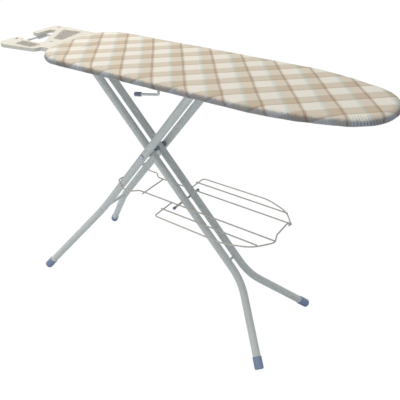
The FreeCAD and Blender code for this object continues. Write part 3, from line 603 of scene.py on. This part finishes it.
def build_weave():
    group, given, out = new_group("thread_weave",
                                  [("Cloth", "NodeSocketVector", None), ("Pitch", "NodeSocketFloat", 0.0008)],
                                  [("Height", "NodeSocketFloat"), ("Shade", "NodeSocketFloat")])
    parts = put(group, "ShaderNodeSeparateXYZ", Vector=given.outputs["Cloth"])
    turn = reckon(group, "DIVIDE", 2 * math.pi, given.outputs["Pitch"])
    warp = reckon(group, "SINE", reckon(group, "MULTIPLY", parts.outputs["X"], turn))
    weft = reckon(group, "SINE", reckon(group, "MULTIPLY", parts.outputs["Y"], turn))
    crossing = reckon(group, "MULTIPLY", warp, weft)
    height = reckon(group, "MULTIPLY_ADD", crossing, 0.5, 0.5)
    slub = put(group, "ShaderNodeTexNoise", Vector=given.outputs["Cloth"], Scale=420.0, Detail=2.0)
    feed(group, out.inputs["Height"], height)
    # Shade is lower where a thread dips under the crossing one. It is painted shade in the weave's hollows,
    # varied by the yarn's uneven thickness.
    feed(group, out.inputs["Shade"], reckon(group, "MULTIPLY_ADD", slub.outputs["Fac"], height, 0.4))
    return group


thread_weave = build_weave()
print("group:", thread_weave.name)

# %% [markdown]
# ## The skin of paint and plastic
# Baked paint and moulded plastic both have a fine pebbled skin that softens their highlights. A
# noise with small grains gives the height, and a second, coarse one says where the gloss is duller.

# %% Pebbled skin


def build_pebble():
    group, given, out = new_group("pebbled_skin",
                                  [("Place", "NodeSocketVector", None), ("Grain", "NodeSocketFloat", 900.0)],
                                  [("Height", "NodeSocketFloat"), ("Dull", "NodeSocketFloat")])
    fine = put(group, "ShaderNodeTexNoise", Vector=given.outputs["Place"], Scale=given.outputs["Grain"],
               Detail=2.0)
    coarse = put(group, "ShaderNodeTexNoise", Vector=given.outputs["Place"], Scale=60.0, Detail=3.0)
    feed(group, out.inputs["Height"], fine.outputs["Fac"])
    feed(group, out.inputs["Dull"], coarse.outputs["Fac"])
    return group


pebbled_skin = build_pebble()
print("group:", pebbled_skin.name)

# %% [markdown]
# ## Rubbed edges
# Hands, floors and cupboards wear the raised edges first. Pointiness finds those edges on the mesh,
# and a noise breaks the wear up, so that it isn't an even line.

# %% Rubbed edges


def build_rub():
    group, given, out = new_group("rubbed_edges",
                                  [("Place", "NodeSocketVector", None), ("Reach", "NodeSocketFloat", 0.5)],
                                  [("Mask", "NodeSocketFloat")])
    sharp = put(group, "ShaderNodeNewGeometry").outputs["Pointiness"]
    edge = put(group, "ShaderNodeMapRange", Value=sharp, From_Min=0.53, From_Max=0.62)
    broken = put(group, "ShaderNodeTexNoise", Vector=given.outputs["Place"], Scale=130.0, Detail=4.0)
    patchy = put(group, "ShaderNodeMapRange", Value=broken.outputs["Fac"], From_Min=0.42, From_Max=0.62)
    both = reckon(group, "MULTIPLY", edge.outputs["Result"], patchy.outputs["Result"])
    feed(group, out.inputs["Mask"], reckon(group, "MULTIPLY", both, given.outputs["Reach"], clamp=True))
    return group


rubbed_edges = build_rub()
print("group:", rubbed_edges.name)

# %% [markdown]
# ## Settled dust
# Dust lies on what faces up. The upward part of the surface's own direction gives the mask, so the
# dust turns with a leg when the board is folded, as dust that has stuck would.

# %% Settled dust


def build_dust():
    group, given, out = new_group("settled_dust",
                                  [("Place", "NodeSocketVector", None), ("Facing", "NodeSocketVector", None),
                                   ("Amount", "NodeSocketFloat", 0.2)],
                                  [("Mask", "NodeSocketFloat")])
    up_part = put(group, "ShaderNodeSeparateXYZ", Vector=given.outputs["Facing"]).outputs["Z"]
    level = put(group, "ShaderNodeMapRange", Value=up_part, From_Min=0.35, From_Max=1.0)
    specks = put(group, "ShaderNodeTexNoise", Vector=given.outputs["Place"], Scale=85.0, Detail=6.0,
                 Roughness=0.7)
    lying = reckon(group, "MULTIPLY", level.outputs["Result"], specks.outputs["Fac"])
    feed(group, out.inputs["Mask"], reckon(group, "MULTIPLY", lying, given.outputs["Amount"], clamp=True))
    return group


settled_dust = build_dust()
print("group:", settled_dust.name)

# %% [markdown]
# ## Slow patches of tone
# No real colour is the same all over. A wide, weak noise around 1 is multiplied into each colour.

# %% Slow patches


def build_patches():
    group, given, out = new_group("slow_patches",
                                  [("Place", "NodeSocketVector", None), ("Size", "NodeSocketFloat", 14.0),
                                   ("Swing", "NodeSocketFloat", 0.06)],
                                  [("Tone", "NodeSocketFloat")])
    cloud = put(group, "ShaderNodeTexNoise", Vector=given.outputs["Place"], Scale=given.outputs["Size"],
                Detail=3.0)
    centred = reckon(group, "SUBTRACT", cloud.outputs["Fac"], 0.5)
    swung = reckon(group, "MULTIPLY", centred, given.outputs["Swing"])
    feed(group, out.inputs["Tone"], reckon(group, "ADD", swung, 1.0))
    return group


slow_patches = build_patches()
print("groups so far:", len(bpy.data.node_groups))

# %% [markdown]
# ## The plaid
# The cloth is woven in cream, and two sets of bands cross on it at a slant. In each set a wide tan
# band is opened by a pale blue-green line and closed by a narrow brown one. The blue-green is clear
# in the steep set and faint in the other. Dyed threads darken each other where they cross, so each
# set is a ramp of tints, and the two are multiplied over the cream. The ramps are read in flat
# cloth coordinates, so the lines run over the edge and down the side as they do on a real cover.

# %% Bands of the plaid
CREAM = srgb(245, 236, 219)
PLAIN = (1, 1, 1, 1)
TAN_A, TAN_B = (0.855, 0.80, 0.735, 1), (0.815, 0.757, 0.685, 1)
BROWN_A, BROWN_B = (0.66, 0.565, 0.49, 1), (0.73, 0.65, 0.58, 1)
GREEN_A, GREEN_B = (0.80, 0.915, 0.95, 1), (0.95, 0.985, 0.99, 1)
STEP_A = (0.90, 0.865, 0.83, 1)
STEEP_ANGLE, STEEP_REPEAT = math.radians(52.13), 0.09695
SHALLOW_ANGLE, SHALLOW_REPEAT = math.radians(42.01), 0.08967
STEEP_BANDS = [(0.0, TAN_A), (0.262, TAN_A), (0.270, BROWN_A), (0.340, BROWN_A), (0.348, STEP_A),
               (0.380, STEP_A), (0.390, PLAIN), (0.852, PLAIN), (0.884, GREEN_A), (0.932, GREEN_A),
               (0.960, TAN_A), (1.0, TAN_A)]
SHALLOW_BANDS = [(0.0, GREEN_B), (0.050, GREEN_B), (0.060, TAN_B), (0.440, TAN_B), (0.450, BROWN_B),
                 (0.525, BROWN_B), (0.540, PLAIN), (1.0, PLAIN)]


def build_plaid():
    group, given, out = new_group("slanting_plaid", [("Cloth", "NodeSocketVector", None)],
                                  [("Tint", "NodeSocketColor")])
    parts = put(group, "ShaderNodeSeparateXYZ", Vector=given.outputs["Cloth"])

    def bands(angle, repeat, side, stops):
        across = reckon(group, "MULTIPLY", parts.outputs["X"], math.sin(angle) / repeat)
        place = reckon(group, "MULTIPLY_ADD", parts.outputs["Y"], side * math.cos(angle) / repeat, across)
        return ramp(group, reckon(group, "FRACT", place), stops)

    steep = bands(STEEP_ANGLE, STEEP_REPEAT, 1, STEEP_BANDS)
    shallow = bands(SHALLOW_ANGLE, SHALLOW_REPEAT, -1, SHALLOW_BANDS)
    feed(group, out.inputs["Tint"], blend_colours(group, "MULTIPLY", 1.0, steep, shallow))
    return group


slanting_plaid = build_plaid()
print("plaid repeats:", round(STEEP_REPEAT * 1000), "and", round(SHALLOW_REPEAT * 1000), "mm")

# %% [markdown]
# ## The colour of the cotton
# Cream is multiplied by the plaid's tints. A slow noise first pulls the plaid a few millimetres out
# of true, because cloth under tension never keeps straight lines, and patches of tone follow.

# %% Dye the cotton
THREAD_DRIFT = (0.005, 0.005, 0.0)


def dyed_cotton(tree, cloth):
    """Cream cotton with its plaid, in flat cloth coordinates."""
    drift = put(tree, "ShaderNodeTexNoise", Vector=cloth, Scale=16.0, Detail=1.0)
    pulled = put(tree, "ShaderNodeVectorMath", {"operation": "MULTIPLY_ADD"})
    for socket, value in zip(pulled.inputs, (drift.outputs["Color"], THREAD_DRIFT, cloth)):
        feed(tree, socket, value)
    tint = use_group(tree, slanting_plaid, Cloth=pulled.outputs["Vector"]).outputs["Tint"]
    tone = use_group(tree, slow_patches, Place=cloth, Size=9.0, Swing=0.07).outputs["Tone"]
    dyed = blend_colours(tree, "MULTIPLY", 1.0, CREAM, tint)
    return blend_colours(tree, "MULTIPLY", 1.0, dyed, tone)


print("the plaid is pulled by up to", THREAD_DRIFT[0] * 1000, "mm")

# %% [markdown]
# ## The greyed side: painted shade
# The side of the cover reads as a bluish grey band. Part of that is shade from the lights. The rest
# is painted shade: a bluish grey multiplied into the side's own cloth, from the seam attribute, so it
# runs all round the board and shows in every view. The bottoms of the gathers get painted shade in the same
# way.

# %% Paint shade on the side and in the gathers
SIDE_PAINTED_SHADE, VALLEY_PAINTED_SHADE = (0.50, 0.54, 0.64, 1), (0.60, 0.66, 0.73, 1)
SIDE_START = 0.021
SIDE_DROP, SIDE_FADE, SIDE_WANDER = INNER_INSET - EDGE_INSET + SIDE_START, 0.007, 0.012


def paint_side_shade(tree, colour, cloth, seam_at):
    """Paints shade on the hanging side, along an uneven line, and in the bottoms of the gathers."""
    # A noise makes the line where the painted shade on the side starts uneven.
    side_shade_wobble = put(tree, "ShaderNodeTexNoise", Vector=cloth, Scale=75.0, Detail=3.0)
    uneven_drop = reckon(tree, "MULTIPLY_ADD", side_shade_wobble.outputs["Fac"], SIDE_WANDER, seam_at.outputs["Y"])
    side = put(tree, "ShaderNodeMapRange", Value=uneven_drop,
               From_Min=SIDE_DROP, From_Max=SIDE_DROP + SIDE_FADE)
    # The side's bluish grey is painted shade, multiplied into the cloth's colour.
    greyed = blend_colours(tree, "MULTIPLY", side.outputs["Result"], colour, SIDE_PAINTED_SHADE)
    # The bottoms of the gathers are darkened by painted shade, read from the gather depth in the seam
    # attribute.
    valley_shade = put(tree, "ShaderNodeMapRange", Value=seam_at.outputs["Z"], From_Min=0.05, From_Max=-0.7)
    return blend_colours(tree, "MULTIPLY", valley_shade.outputs["Result"], greyed, VALLEY_PAINTED_SHADE)


print("all grey", round((SIDE_START + SIDE_FADE) * 1000), "mm of cloth past the start of the roll")

# %% [markdown]
# ## The row of stitches
# The hem is sewn with one row of stitches. A row is where two masks meet: a narrow line at one
# drop, and dashes along the edge. Modelled thread would be finer than anyone could see.

# %% Stitch the hem
STITCH_DROP, STITCH_PITCH, STITCH_HALF = 0.034, 0.0036, 0.0007
STITCH_SHARE = 0.68


def hem_stitches(tree, seam_at):
    """1 on a stitch and 0 between."""
    from_line = reckon(tree, "SUBTRACT", seam_at.outputs["Y"], STITCH_DROP + INNER_INSET)
    on_line = reckon(tree, "LESS_THAN", reckon(tree, "ABSOLUTE", from_line), STITCH_HALF)
    count = reckon(tree, "DIVIDE", seam_at.outputs["X"], STITCH_PITCH)
    dash = reckon(tree, "LESS_THAN", reckon(tree, "FRACT", count), STITCH_SHARE)
    return reckon(tree, "MULTIPLY", on_line, dash)


print("stitches round the hem:", round(ALONG[-1] / STITCH_PITCH))

# %% [markdown]
# ## The cover's cloth
# The finish is put together from the pieces above. Cotton is dull, with a soft sheen where its
# fibres catch the light, and its underside is plain. Three bumps are chained: threads, then wide
# creases, then stitches, so that each rides on the one before.

# %% Finish the cover
THREAD_SHADE = 0.16
STITCH_THREAD, LINING = srgb(232, 222, 204), srgb(226, 220, 208)


def make_cover_cloth():
    material, tree, shader = new_material("plaid_cotton")
    cloth = put(tree, "ShaderNodeAttribute", {"attribute_name": "cloth"}).outputs["Vector"]
    seam = put(tree, "ShaderNodeAttribute", {"attribute_name": "seam"}).outputs["Vector"]
    seam_at = put(tree, "ShaderNodeSeparateXYZ", Vector=seam)
    woven = use_group(tree, thread_weave, Cloth=cloth, Pitch=0.0009)
    greyed = paint_side_shade(tree, dyed_cotton(tree, cloth), cloth, seam_at)
    # The weave's Shade is multiplied into the colour: painted shade where the threads dip, partly varied by
    # the yarn's own thickness.
    threads = blend_colours(tree, "MULTIPLY", THREAD_SHADE, greyed, woven.outputs["Shade"])
    stitch = hem_stitches(tree, seam_at)
    sewn = blend_colours(tree, "MIX", stitch, threads, STITCH_THREAD)
    back = put(tree, "ShaderNodeNewGeometry").outputs["Backfacing"]
    feed(tree, shader.inputs["Base Color"], blend_colours(tree, "MIX", back, sewn, LINING))
    shader.inputs["Roughness"].default_value = 0.86
    shader.inputs["Sheen Weight"].default_value = 0.18
    shader.inputs["Sheen Roughness"].default_value = 0.45
    creases = put(tree, "ShaderNodeTexNoise", Vector=cloth, Scale=34.0, Detail=4.0)
    threads_up = put(tree, "ShaderNodeBump", Strength=0.5, Distance=0.00012, Height=woven.outputs["Height"])
    creased = put(tree, "ShaderNodeBump", Strength=0.35, Distance=0.0016, Height=creases.outputs["Fac"],
                  Normal=threads_up.outputs["Normal"])
    stitched = put(tree, "ShaderNodeBump", Strength=0.8, Distance=0.0004, Height=stitch,
                   Normal=creased.outputs["Normal"])
    feed(tree, shader.inputs["Normal"], stitched.outputs["Normal"])
    return material


cover.data.materials.append(make_cover_cloth())
print("finish:", cover.data.materials[0].name)

# %% [markdown]
# ## The elastic's braid and the foam's cells
# The elastic is a pale cord braided over rubber, so its bump runs as a fine slant along it, and its
# colour is darker in the grooves of that bump: painted shade. The foam is open cells: pale, dull and
# full of small pits, and its colour is darker in the pits: painted shade. It shows from below, through
# the holes in the steel top.

# %% Finish the elastic and the foam


def make_elastic_braid():
    material, tree, shader = new_material("braided_elastic")
    place = put(tree, "ShaderNodeTexCoord").outputs["Object"]
    braid = put(tree, "ShaderNodeTexWave", {"bands_direction": "DIAGONAL"}, Vector=place, Scale=400.0,
                Distortion=1.5)
    # Darker where the braid's bump is low: painted shade in its grooves.
    tone = ramp(tree, braid.outputs["Fac"], [(0.0, srgb(196, 192, 184)), (1.0, srgb(228, 225, 218))])
    feed(tree, shader.inputs["Base Color"], tone)
    shader.inputs["Roughness"].default_value = 0.8
    raise_surface(tree, shader, braid.outputs["Fac"], strength=0.6, distance=0.0003)
    return material


def make_foam_cells():
    material, tree, shader = new_material("open_cell_foam")
    place = put(tree, "ShaderNodeTexCoord").outputs["Object"]
    cells = put(tree, "ShaderNodeTexVoronoi", Vector=place, Scale=700.0)
    # Darker at the bottom of each cell, where the bump is lowest: painted shade in the pits.
    tone = ramp(tree, cells.outputs["Distance"], [(0.0, srgb(198, 190, 160)), (0.6, srgb(236, 230, 206))])
    feed(tree, shader.inputs["Base Color"], tone)
    shader.inputs["Roughness"].default_value = 0.95
    raise_surface(tree, shader, cells.outputs["Distance"], strength=0.7, distance=0.0005)
    return material


elastic.data.materials.append(make_elastic_braid())
foam.data.materials.append(make_foam_cells())
print("finishes:", elastic.data.materials[0].name, foam.data.materials[0].name)

# %% [markdown]
# ## A used surface
# Paint and moulded plastic age alike: the tone drifts, the edges rub through, dust settles on top,
# and the gloss comes and goes. Two functions do this for both, one for the colour and one for the
# gloss, with the values that a finish gives them.

# %% Age a surface
DUST = srgb(206, 202, 194)


def aged_colour(tree, colour, edge_colour, patch_size, patch_swing, rub, dust):
    """(colour, dust mask) of a used surface, from the object's own coordinates."""
    where = put(tree, "ShaderNodeTexCoord")
    place, facing = where.outputs["Object"], where.outputs["Normal"]
    tone = use_group(tree, slow_patches, Place=place, Size=patch_size, Swing=patch_swing).outputs["Tone"]
    rubbed = use_group(tree, rubbed_edges, Place=place, Reach=rub).outputs["Mask"]
    dusty = use_group(tree, settled_dust, Place=place, Facing=facing, Amount=dust).outputs["Mask"]
    new = blend_colours(tree, "MULTIPLY", 1.0, colour, tone)
    worn = blend_colours(tree, "MIX", rubbed, new, edge_colour)
    return blend_colours(tree, "MIX", dusty, worn, DUST), dusty


def uneven_gloss(tree, skin, glossiest, dullest):
    """A roughness that drifts between two values with the skin's dull places."""
    dull = put(tree, "ShaderNodeMapRange", Value=skin.outputs["Dull"], From_Min=0.3, From_Max=0.7,
               To_Min=glossiest, To_Max=dullest)
    return dull.outputs["Result"]


print("dust, as shaders see it:", [round(level, 2) for level in DUST[:3]])

# %% [markdown]
# ## Painted steel
# The legs, the rails, the ribs, the rim, the hot pads and the wires are steel with a baked satin
# paint. A plain colour would look like paper, because real paint has a faint orange-peel skin and
# picks up dust and rubbing in use. Dust also takes the gloss away where it lies.

# %% Painted finishes
DUST_DULLS = 0.3


def make_paint(name, colour, worn_colour, roughness, rub=0.4, dust=0.25):
    material, tree, shader = new_material(name)
    place = put(tree, "ShaderNodeTexCoord").outputs["Object"]
    skin = use_group(tree, pebbled_skin, Place=place, Grain=850.0)
    aged, dusty = aged_colour(tree, colour, worn_colour, patch_size=11.0, patch_swing=0.10,
                              rub=rub, dust=dust)
    feed(tree, shader.inputs["Base Color"], aged)
    gloss = uneven_gloss(tree, skin, roughness - 0.06, roughness + 0.08)
    dulled = reckon(tree, "ADD", gloss, reckon(tree, "MULTIPLY", dusty, DUST_DULLS), clamp=True)
    feed(tree, shader.inputs["Roughness"], dulled)
    raise_surface(tree, shader, skin.outputs["Height"], strength=0.12, distance=0.0002)
    return material


FINISHES = {
    "leg_paint": make_paint("leg_paint", srgb(224, 226, 217), srgb(176, 178, 174), 0.30, rub=0.25, dust=0.10),
    "frame_steel": make_paint("rim_paint", srgb(226, 226, 218), srgb(172, 172, 168), 0.36, dust=0.12),
    "hidden_steel": make_paint("top_sheet_paint", srgb(206, 208, 210), srgb(160, 160, 160), 0.5, dust=0.1),
    "shelf_paint": make_paint("shelf_paint", srgb(222, 216, 198), srgb(160, 156, 148), 0.36, dust=0.3),
    "grille_steel": make_paint("grille_paint", srgb(170, 158, 142), srgb(200, 194, 184), 0.48, rub=0.6),
}
print("paints:", sorted(FINISHES))

# %% [markdown]
# ## Bright steel
# The hinge pin, the crossing bolt and its nut, the rivets, the spring and the rack are zinc plated:
# a full metal, a little cloudy, with fine lines left by the tool that made it. The lines are noise
# squeezed in one direction.

# %% Plated finish


def make_zinc():
    material, tree, shader = new_material("zinc_plate")
    place = put(tree, "ShaderNodeTexCoord").outputs["Object"]
    squeezed = put(tree, "ShaderNodeMapping", Vector=place, Scale=(300.0, 2400.0, 300.0))
    lines = put(tree, "ShaderNodeTexNoise", Vector=squeezed.outputs["Vector"], Scale=1.0, Detail=2.0)
    cloud = use_group(tree, slow_patches, Place=place, Size=70.0, Swing=0.25).outputs["Tone"]
    rubbed = use_group(tree, rubbed_edges, Place=place, Reach=0.6).outputs["Mask"]
    plated = blend_colours(tree, "MULTIPLY", 1.0, srgb(204, 206, 208), cloud)
    feed(tree, shader.inputs["Base Color"], blend_colours(tree, "MIX", rubbed, plated, srgb(232, 232, 230)))
    shader.inputs["Metallic"].default_value = 1.0
    dull = put(tree, "ShaderNodeMapRange", Value=lines.outputs["Fac"], To_Min=0.24, To_Max=0.42)
    feed(tree, shader.inputs["Roughness"], dull.outputs["Result"])
    raise_surface(tree, shader, lines.outputs["Fac"], strength=0.1, distance=0.0001)
    return material


FINISHES["bright_steel"] = make_zinc()
print("metal:", FINISHES["bright_steel"].name)

# %% [markdown]
# ## Moulded plastic
# The iron rest, the feet, the grip, the clips, the saddles, the bushes, the caps and the slide
# blocks are moulded. A mould leaves a fine matt grain, and handling lightens the raised edges. The
# feet also pick up scuffs: a noise squeezed in one slanting direction makes long thin marks, and
# only its highest parts show.

# %% Moulded finishes
GRAIN = 1100.0
SCRATCH_TURN, SCRATCH_SQUEEZE = (0.3, 0.2, 0.9), (60.0, 900.0, 60.0)


def make_plastic(name, colour, edge_colour, roughness, dust=0.2, scuffs=0.0):
    material, tree, shader = new_material(name)
    place = put(tree, "ShaderNodeTexCoord").outputs["Object"]
    skin = use_group(tree, pebbled_skin, Place=place, Grain=GRAIN)
    aged, _ = aged_colour(tree, colour, edge_colour, patch_size=24.0, patch_swing=0.09,
                          rub=0.5, dust=dust)
    slanted = put(tree, "ShaderNodeMapping", Vector=place, Rotation=SCRATCH_TURN, Scale=SCRATCH_SQUEEZE)
    scratch = put(tree, "ShaderNodeTexNoise", Vector=slanted.outputs["Vector"], Scale=1.0, Detail=3.0)
    scuffed = put(tree, "ShaderNodeMapRange", Value=scratch.outputs["Fac"], From_Min=0.62, From_Max=0.74,
                  To_Max=scuffs)
    scuffed_colour = blend_colours(tree, "MIX", scuffed.outputs["Result"], aged, edge_colour)
    feed(tree, shader.inputs["Base Color"], scuffed_colour)
    feed(tree, shader.inputs["Roughness"], uneven_gloss(tree, skin, roughness - 0.05, roughness + 0.07))
    raise_surface(tree, shader, skin.outputs["Height"], strength=0.2, distance=0.00018)
    return material


FINISHES["rest_plastic"] = make_plastic("ivory_plastic", srgb(232, 224, 206), srgb(246, 242, 232), 0.40)
FINISHES["dark_plastic"] = make_plastic("slate_plastic", srgb(124, 134, 148), srgb(156, 163, 172), 0.46)
FINISHES["block_plastic"] = make_plastic("slide_plastic", srgb(214, 216, 218), srgb(236, 236, 236), 0.35)
FINISHES["foot_plastic"] = make_plastic("foot_plastic", srgb(136, 154, 180), srgb(170, 182, 200), 0.5,
                                        dust=0.35, scuffs=0.4)
print("plastics ready:", len(FINISHES), "finishes in all")

# %% [markdown]
# ## Giving each node its finish
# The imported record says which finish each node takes. The meshes stay as they are: only the
# material in their slots changes. The cover, the foam and the elastic have no entry here, because
# the pieces that stand for them have their finish already.

# %% Dress the nodes
dressed = 0
for part in frame["record"]["subparts"]:
    if part["material_slot"] not in FINISHES:
        continue
    node = frame["nodes"][part["node"]]
    finish = FINISHES[part["material_slot"]]
    if not node.material_slots:
        node.data.materials.append(finish)
    for slot in node.material_slots:
        slot.material = finish
    dressed += 1
print("finished nodes:", dressed, "of", len(frame["nodes"]))

# %% [markdown]
# ## The floor
# The board stands on a wide, pale, plain floor. Studio floors are lit until they show white. Here
# the floor mostly glows white for the camera, and for the board it stays a cooler, dimmer surface,
# so that it doesn't flood the underside with light.

# %% Floor
FLOOR_HALF, FLOOR_GAP = 14.0, 0.0005
FLOOR_TONE = (0.72, 0.76, 0.82, 1)
FLOOR_GLOW, FLOOR_GLOW_SHARE = 1.05, 0.92


def make_floor_finish():
    material, tree, shader = new_material("studio_floor")
    shader.inputs["Base Color"].default_value = FLOOR_TONE
    shader.inputs["Roughness"].default_value = 1.0
    shader.inputs["Specular IOR Level"].default_value = 0.0
    glow = put(tree, "ShaderNodeEmission", Color=PLAIN, Strength=FLOOR_GLOW)
    seen = put(tree, "ShaderNodeLightPath").outputs["Is Camera Ray"]
    share = reckon(tree, "MULTIPLY", seen, FLOOR_GLOW_SHARE)
    mixed = put(tree, "ShaderNodeMixShader")
    for socket, value in zip(mixed.inputs, (share, shader.outputs["BSDF"], glow.outputs["Emission"])):
        feed(tree, socket, value)
    output = next(node for node in tree.nodes if node.bl_idname == "ShaderNodeOutputMaterial")
    feed(tree, output.inputs["Surface"], mixed.outputs["Shader"])
    return material


floor_z = cad_low.z - FLOOR_GAP
corners = [Vector((x * FLOOR_HALF, y * FLOOR_HALF, floor_z)) for x, y in [(-1, -1), (1, -1), (1, 1), (-1, 1)]]
floor = add_mesh("studio_floor", corners, [(0, 1, 2, 3)])
floor.data.materials.append(make_floor_finish())
print("floor at", round(floor_z, 4))

# %% [markdown]
# ## The lights
# One very large soft light overhead makes the top bright. A soft box hangs over the tail, which is
# why the top grows darker towards the nose, and a wide one stands low in front, so that the legs
# and the wires don't go black. Three lights are enough: more would only cross each other's shadows.

# %% Light
SUN_FROM, SUN_SPREAD = Vector((-0.10, 0.05, 1.0)), math.radians(60)
SUN_POWER, SUN_COLOUR = 1.35, (1.0, 0.985, 0.955)
TAIL_BOX, TAIL_BOX_AIM, TAIL_BOX_SIZE = Vector((-0.95, 0.15, 2.25)), Vector((-0.25, 0, TOP_Z)), 1.2
TAIL_BOX_POWER, TAIL_BOX_COLOUR = 11.5, (1.0, 0.99, 0.97)
FRONT_BOX, FRONT_BOX_AIM, FRONT_BOX_SIZE = Vector((-0.4, -2.6, 1.1)), Vector((0, 0, 0.45)), 2.2
FRONT_BOX_POWER, FRONT_BOX_COLOUR = 11.0, (1.0, 1.0, 0.98)


def studio_light(name, kind, power, colour, shines_from, place):
    """A light at a place. Its light comes from the direction shines_from."""
    data = bpy.data.lights.new(name, kind)
    data.energy = power
    data.color = colour
    lamp = bpy.data.objects.new(name, data)
    lamp.location = place
    lamp.rotation_euler = shines_from.to_track_quat("Z", "Y").to_euler()
    bpy.context.scene.collection.objects.link(lamp)
    return data


sun = studio_light("overhead_softbox", "SUN", SUN_POWER, SUN_COLOUR, SUN_FROM, place=(0, 0, 0))
sun.angle = SUN_SPREAD
tail_box = studio_light("tail_softbox", "AREA", TAIL_BOX_POWER, TAIL_BOX_COLOUR,
                        TAIL_BOX - TAIL_BOX_AIM, place=TAIL_BOX)
tail_box.size = TAIL_BOX_SIZE
front_box = studio_light("front_fill", "AREA", FRONT_BOX_POWER, FRONT_BOX_COLOUR,
                         FRONT_BOX - FRONT_BOX_AIM, place=FRONT_BOX)
front_box.size = FRONT_BOX_SIZE
print("lights:", len(bpy.data.lights))

# %% [markdown]
# ## The air around
# A studio's walls send back a weak cool light from every side, which fills the shadows. The camera
# sees plain white in their place, so that the floor has no horizon.

# %% World
SKY_LIGHT, SKY_STRENGTH = (0.80, 0.88, 1.0, 1), 0.34
world = bpy.data.worlds.new("studio")
world.use_nodes = True
air = world.node_tree
air.nodes.clear()
fill = put(air, "ShaderNodeBackground", Color=SKY_LIGHT, Strength=SKY_STRENGTH)
white = put(air, "ShaderNodeBackground", Color=PLAIN, Strength=1.0)
seen = put(air, "ShaderNodeLightPath").outputs["Is Camera Ray"]
both = put(air, "ShaderNodeMixShader")
for socket, value in zip(both.inputs, (seen, fill.outputs["Background"], white.outputs["Background"])):
    feed(air, socket, value)
put(air, "ShaderNodeOutputWorld", Surface=both.outputs["Shader"])
bpy.context.scene.world = world
bpy.context.scene.view_settings.view_transform = "Standard"
print("fill light:", SKY_STRENGTH)
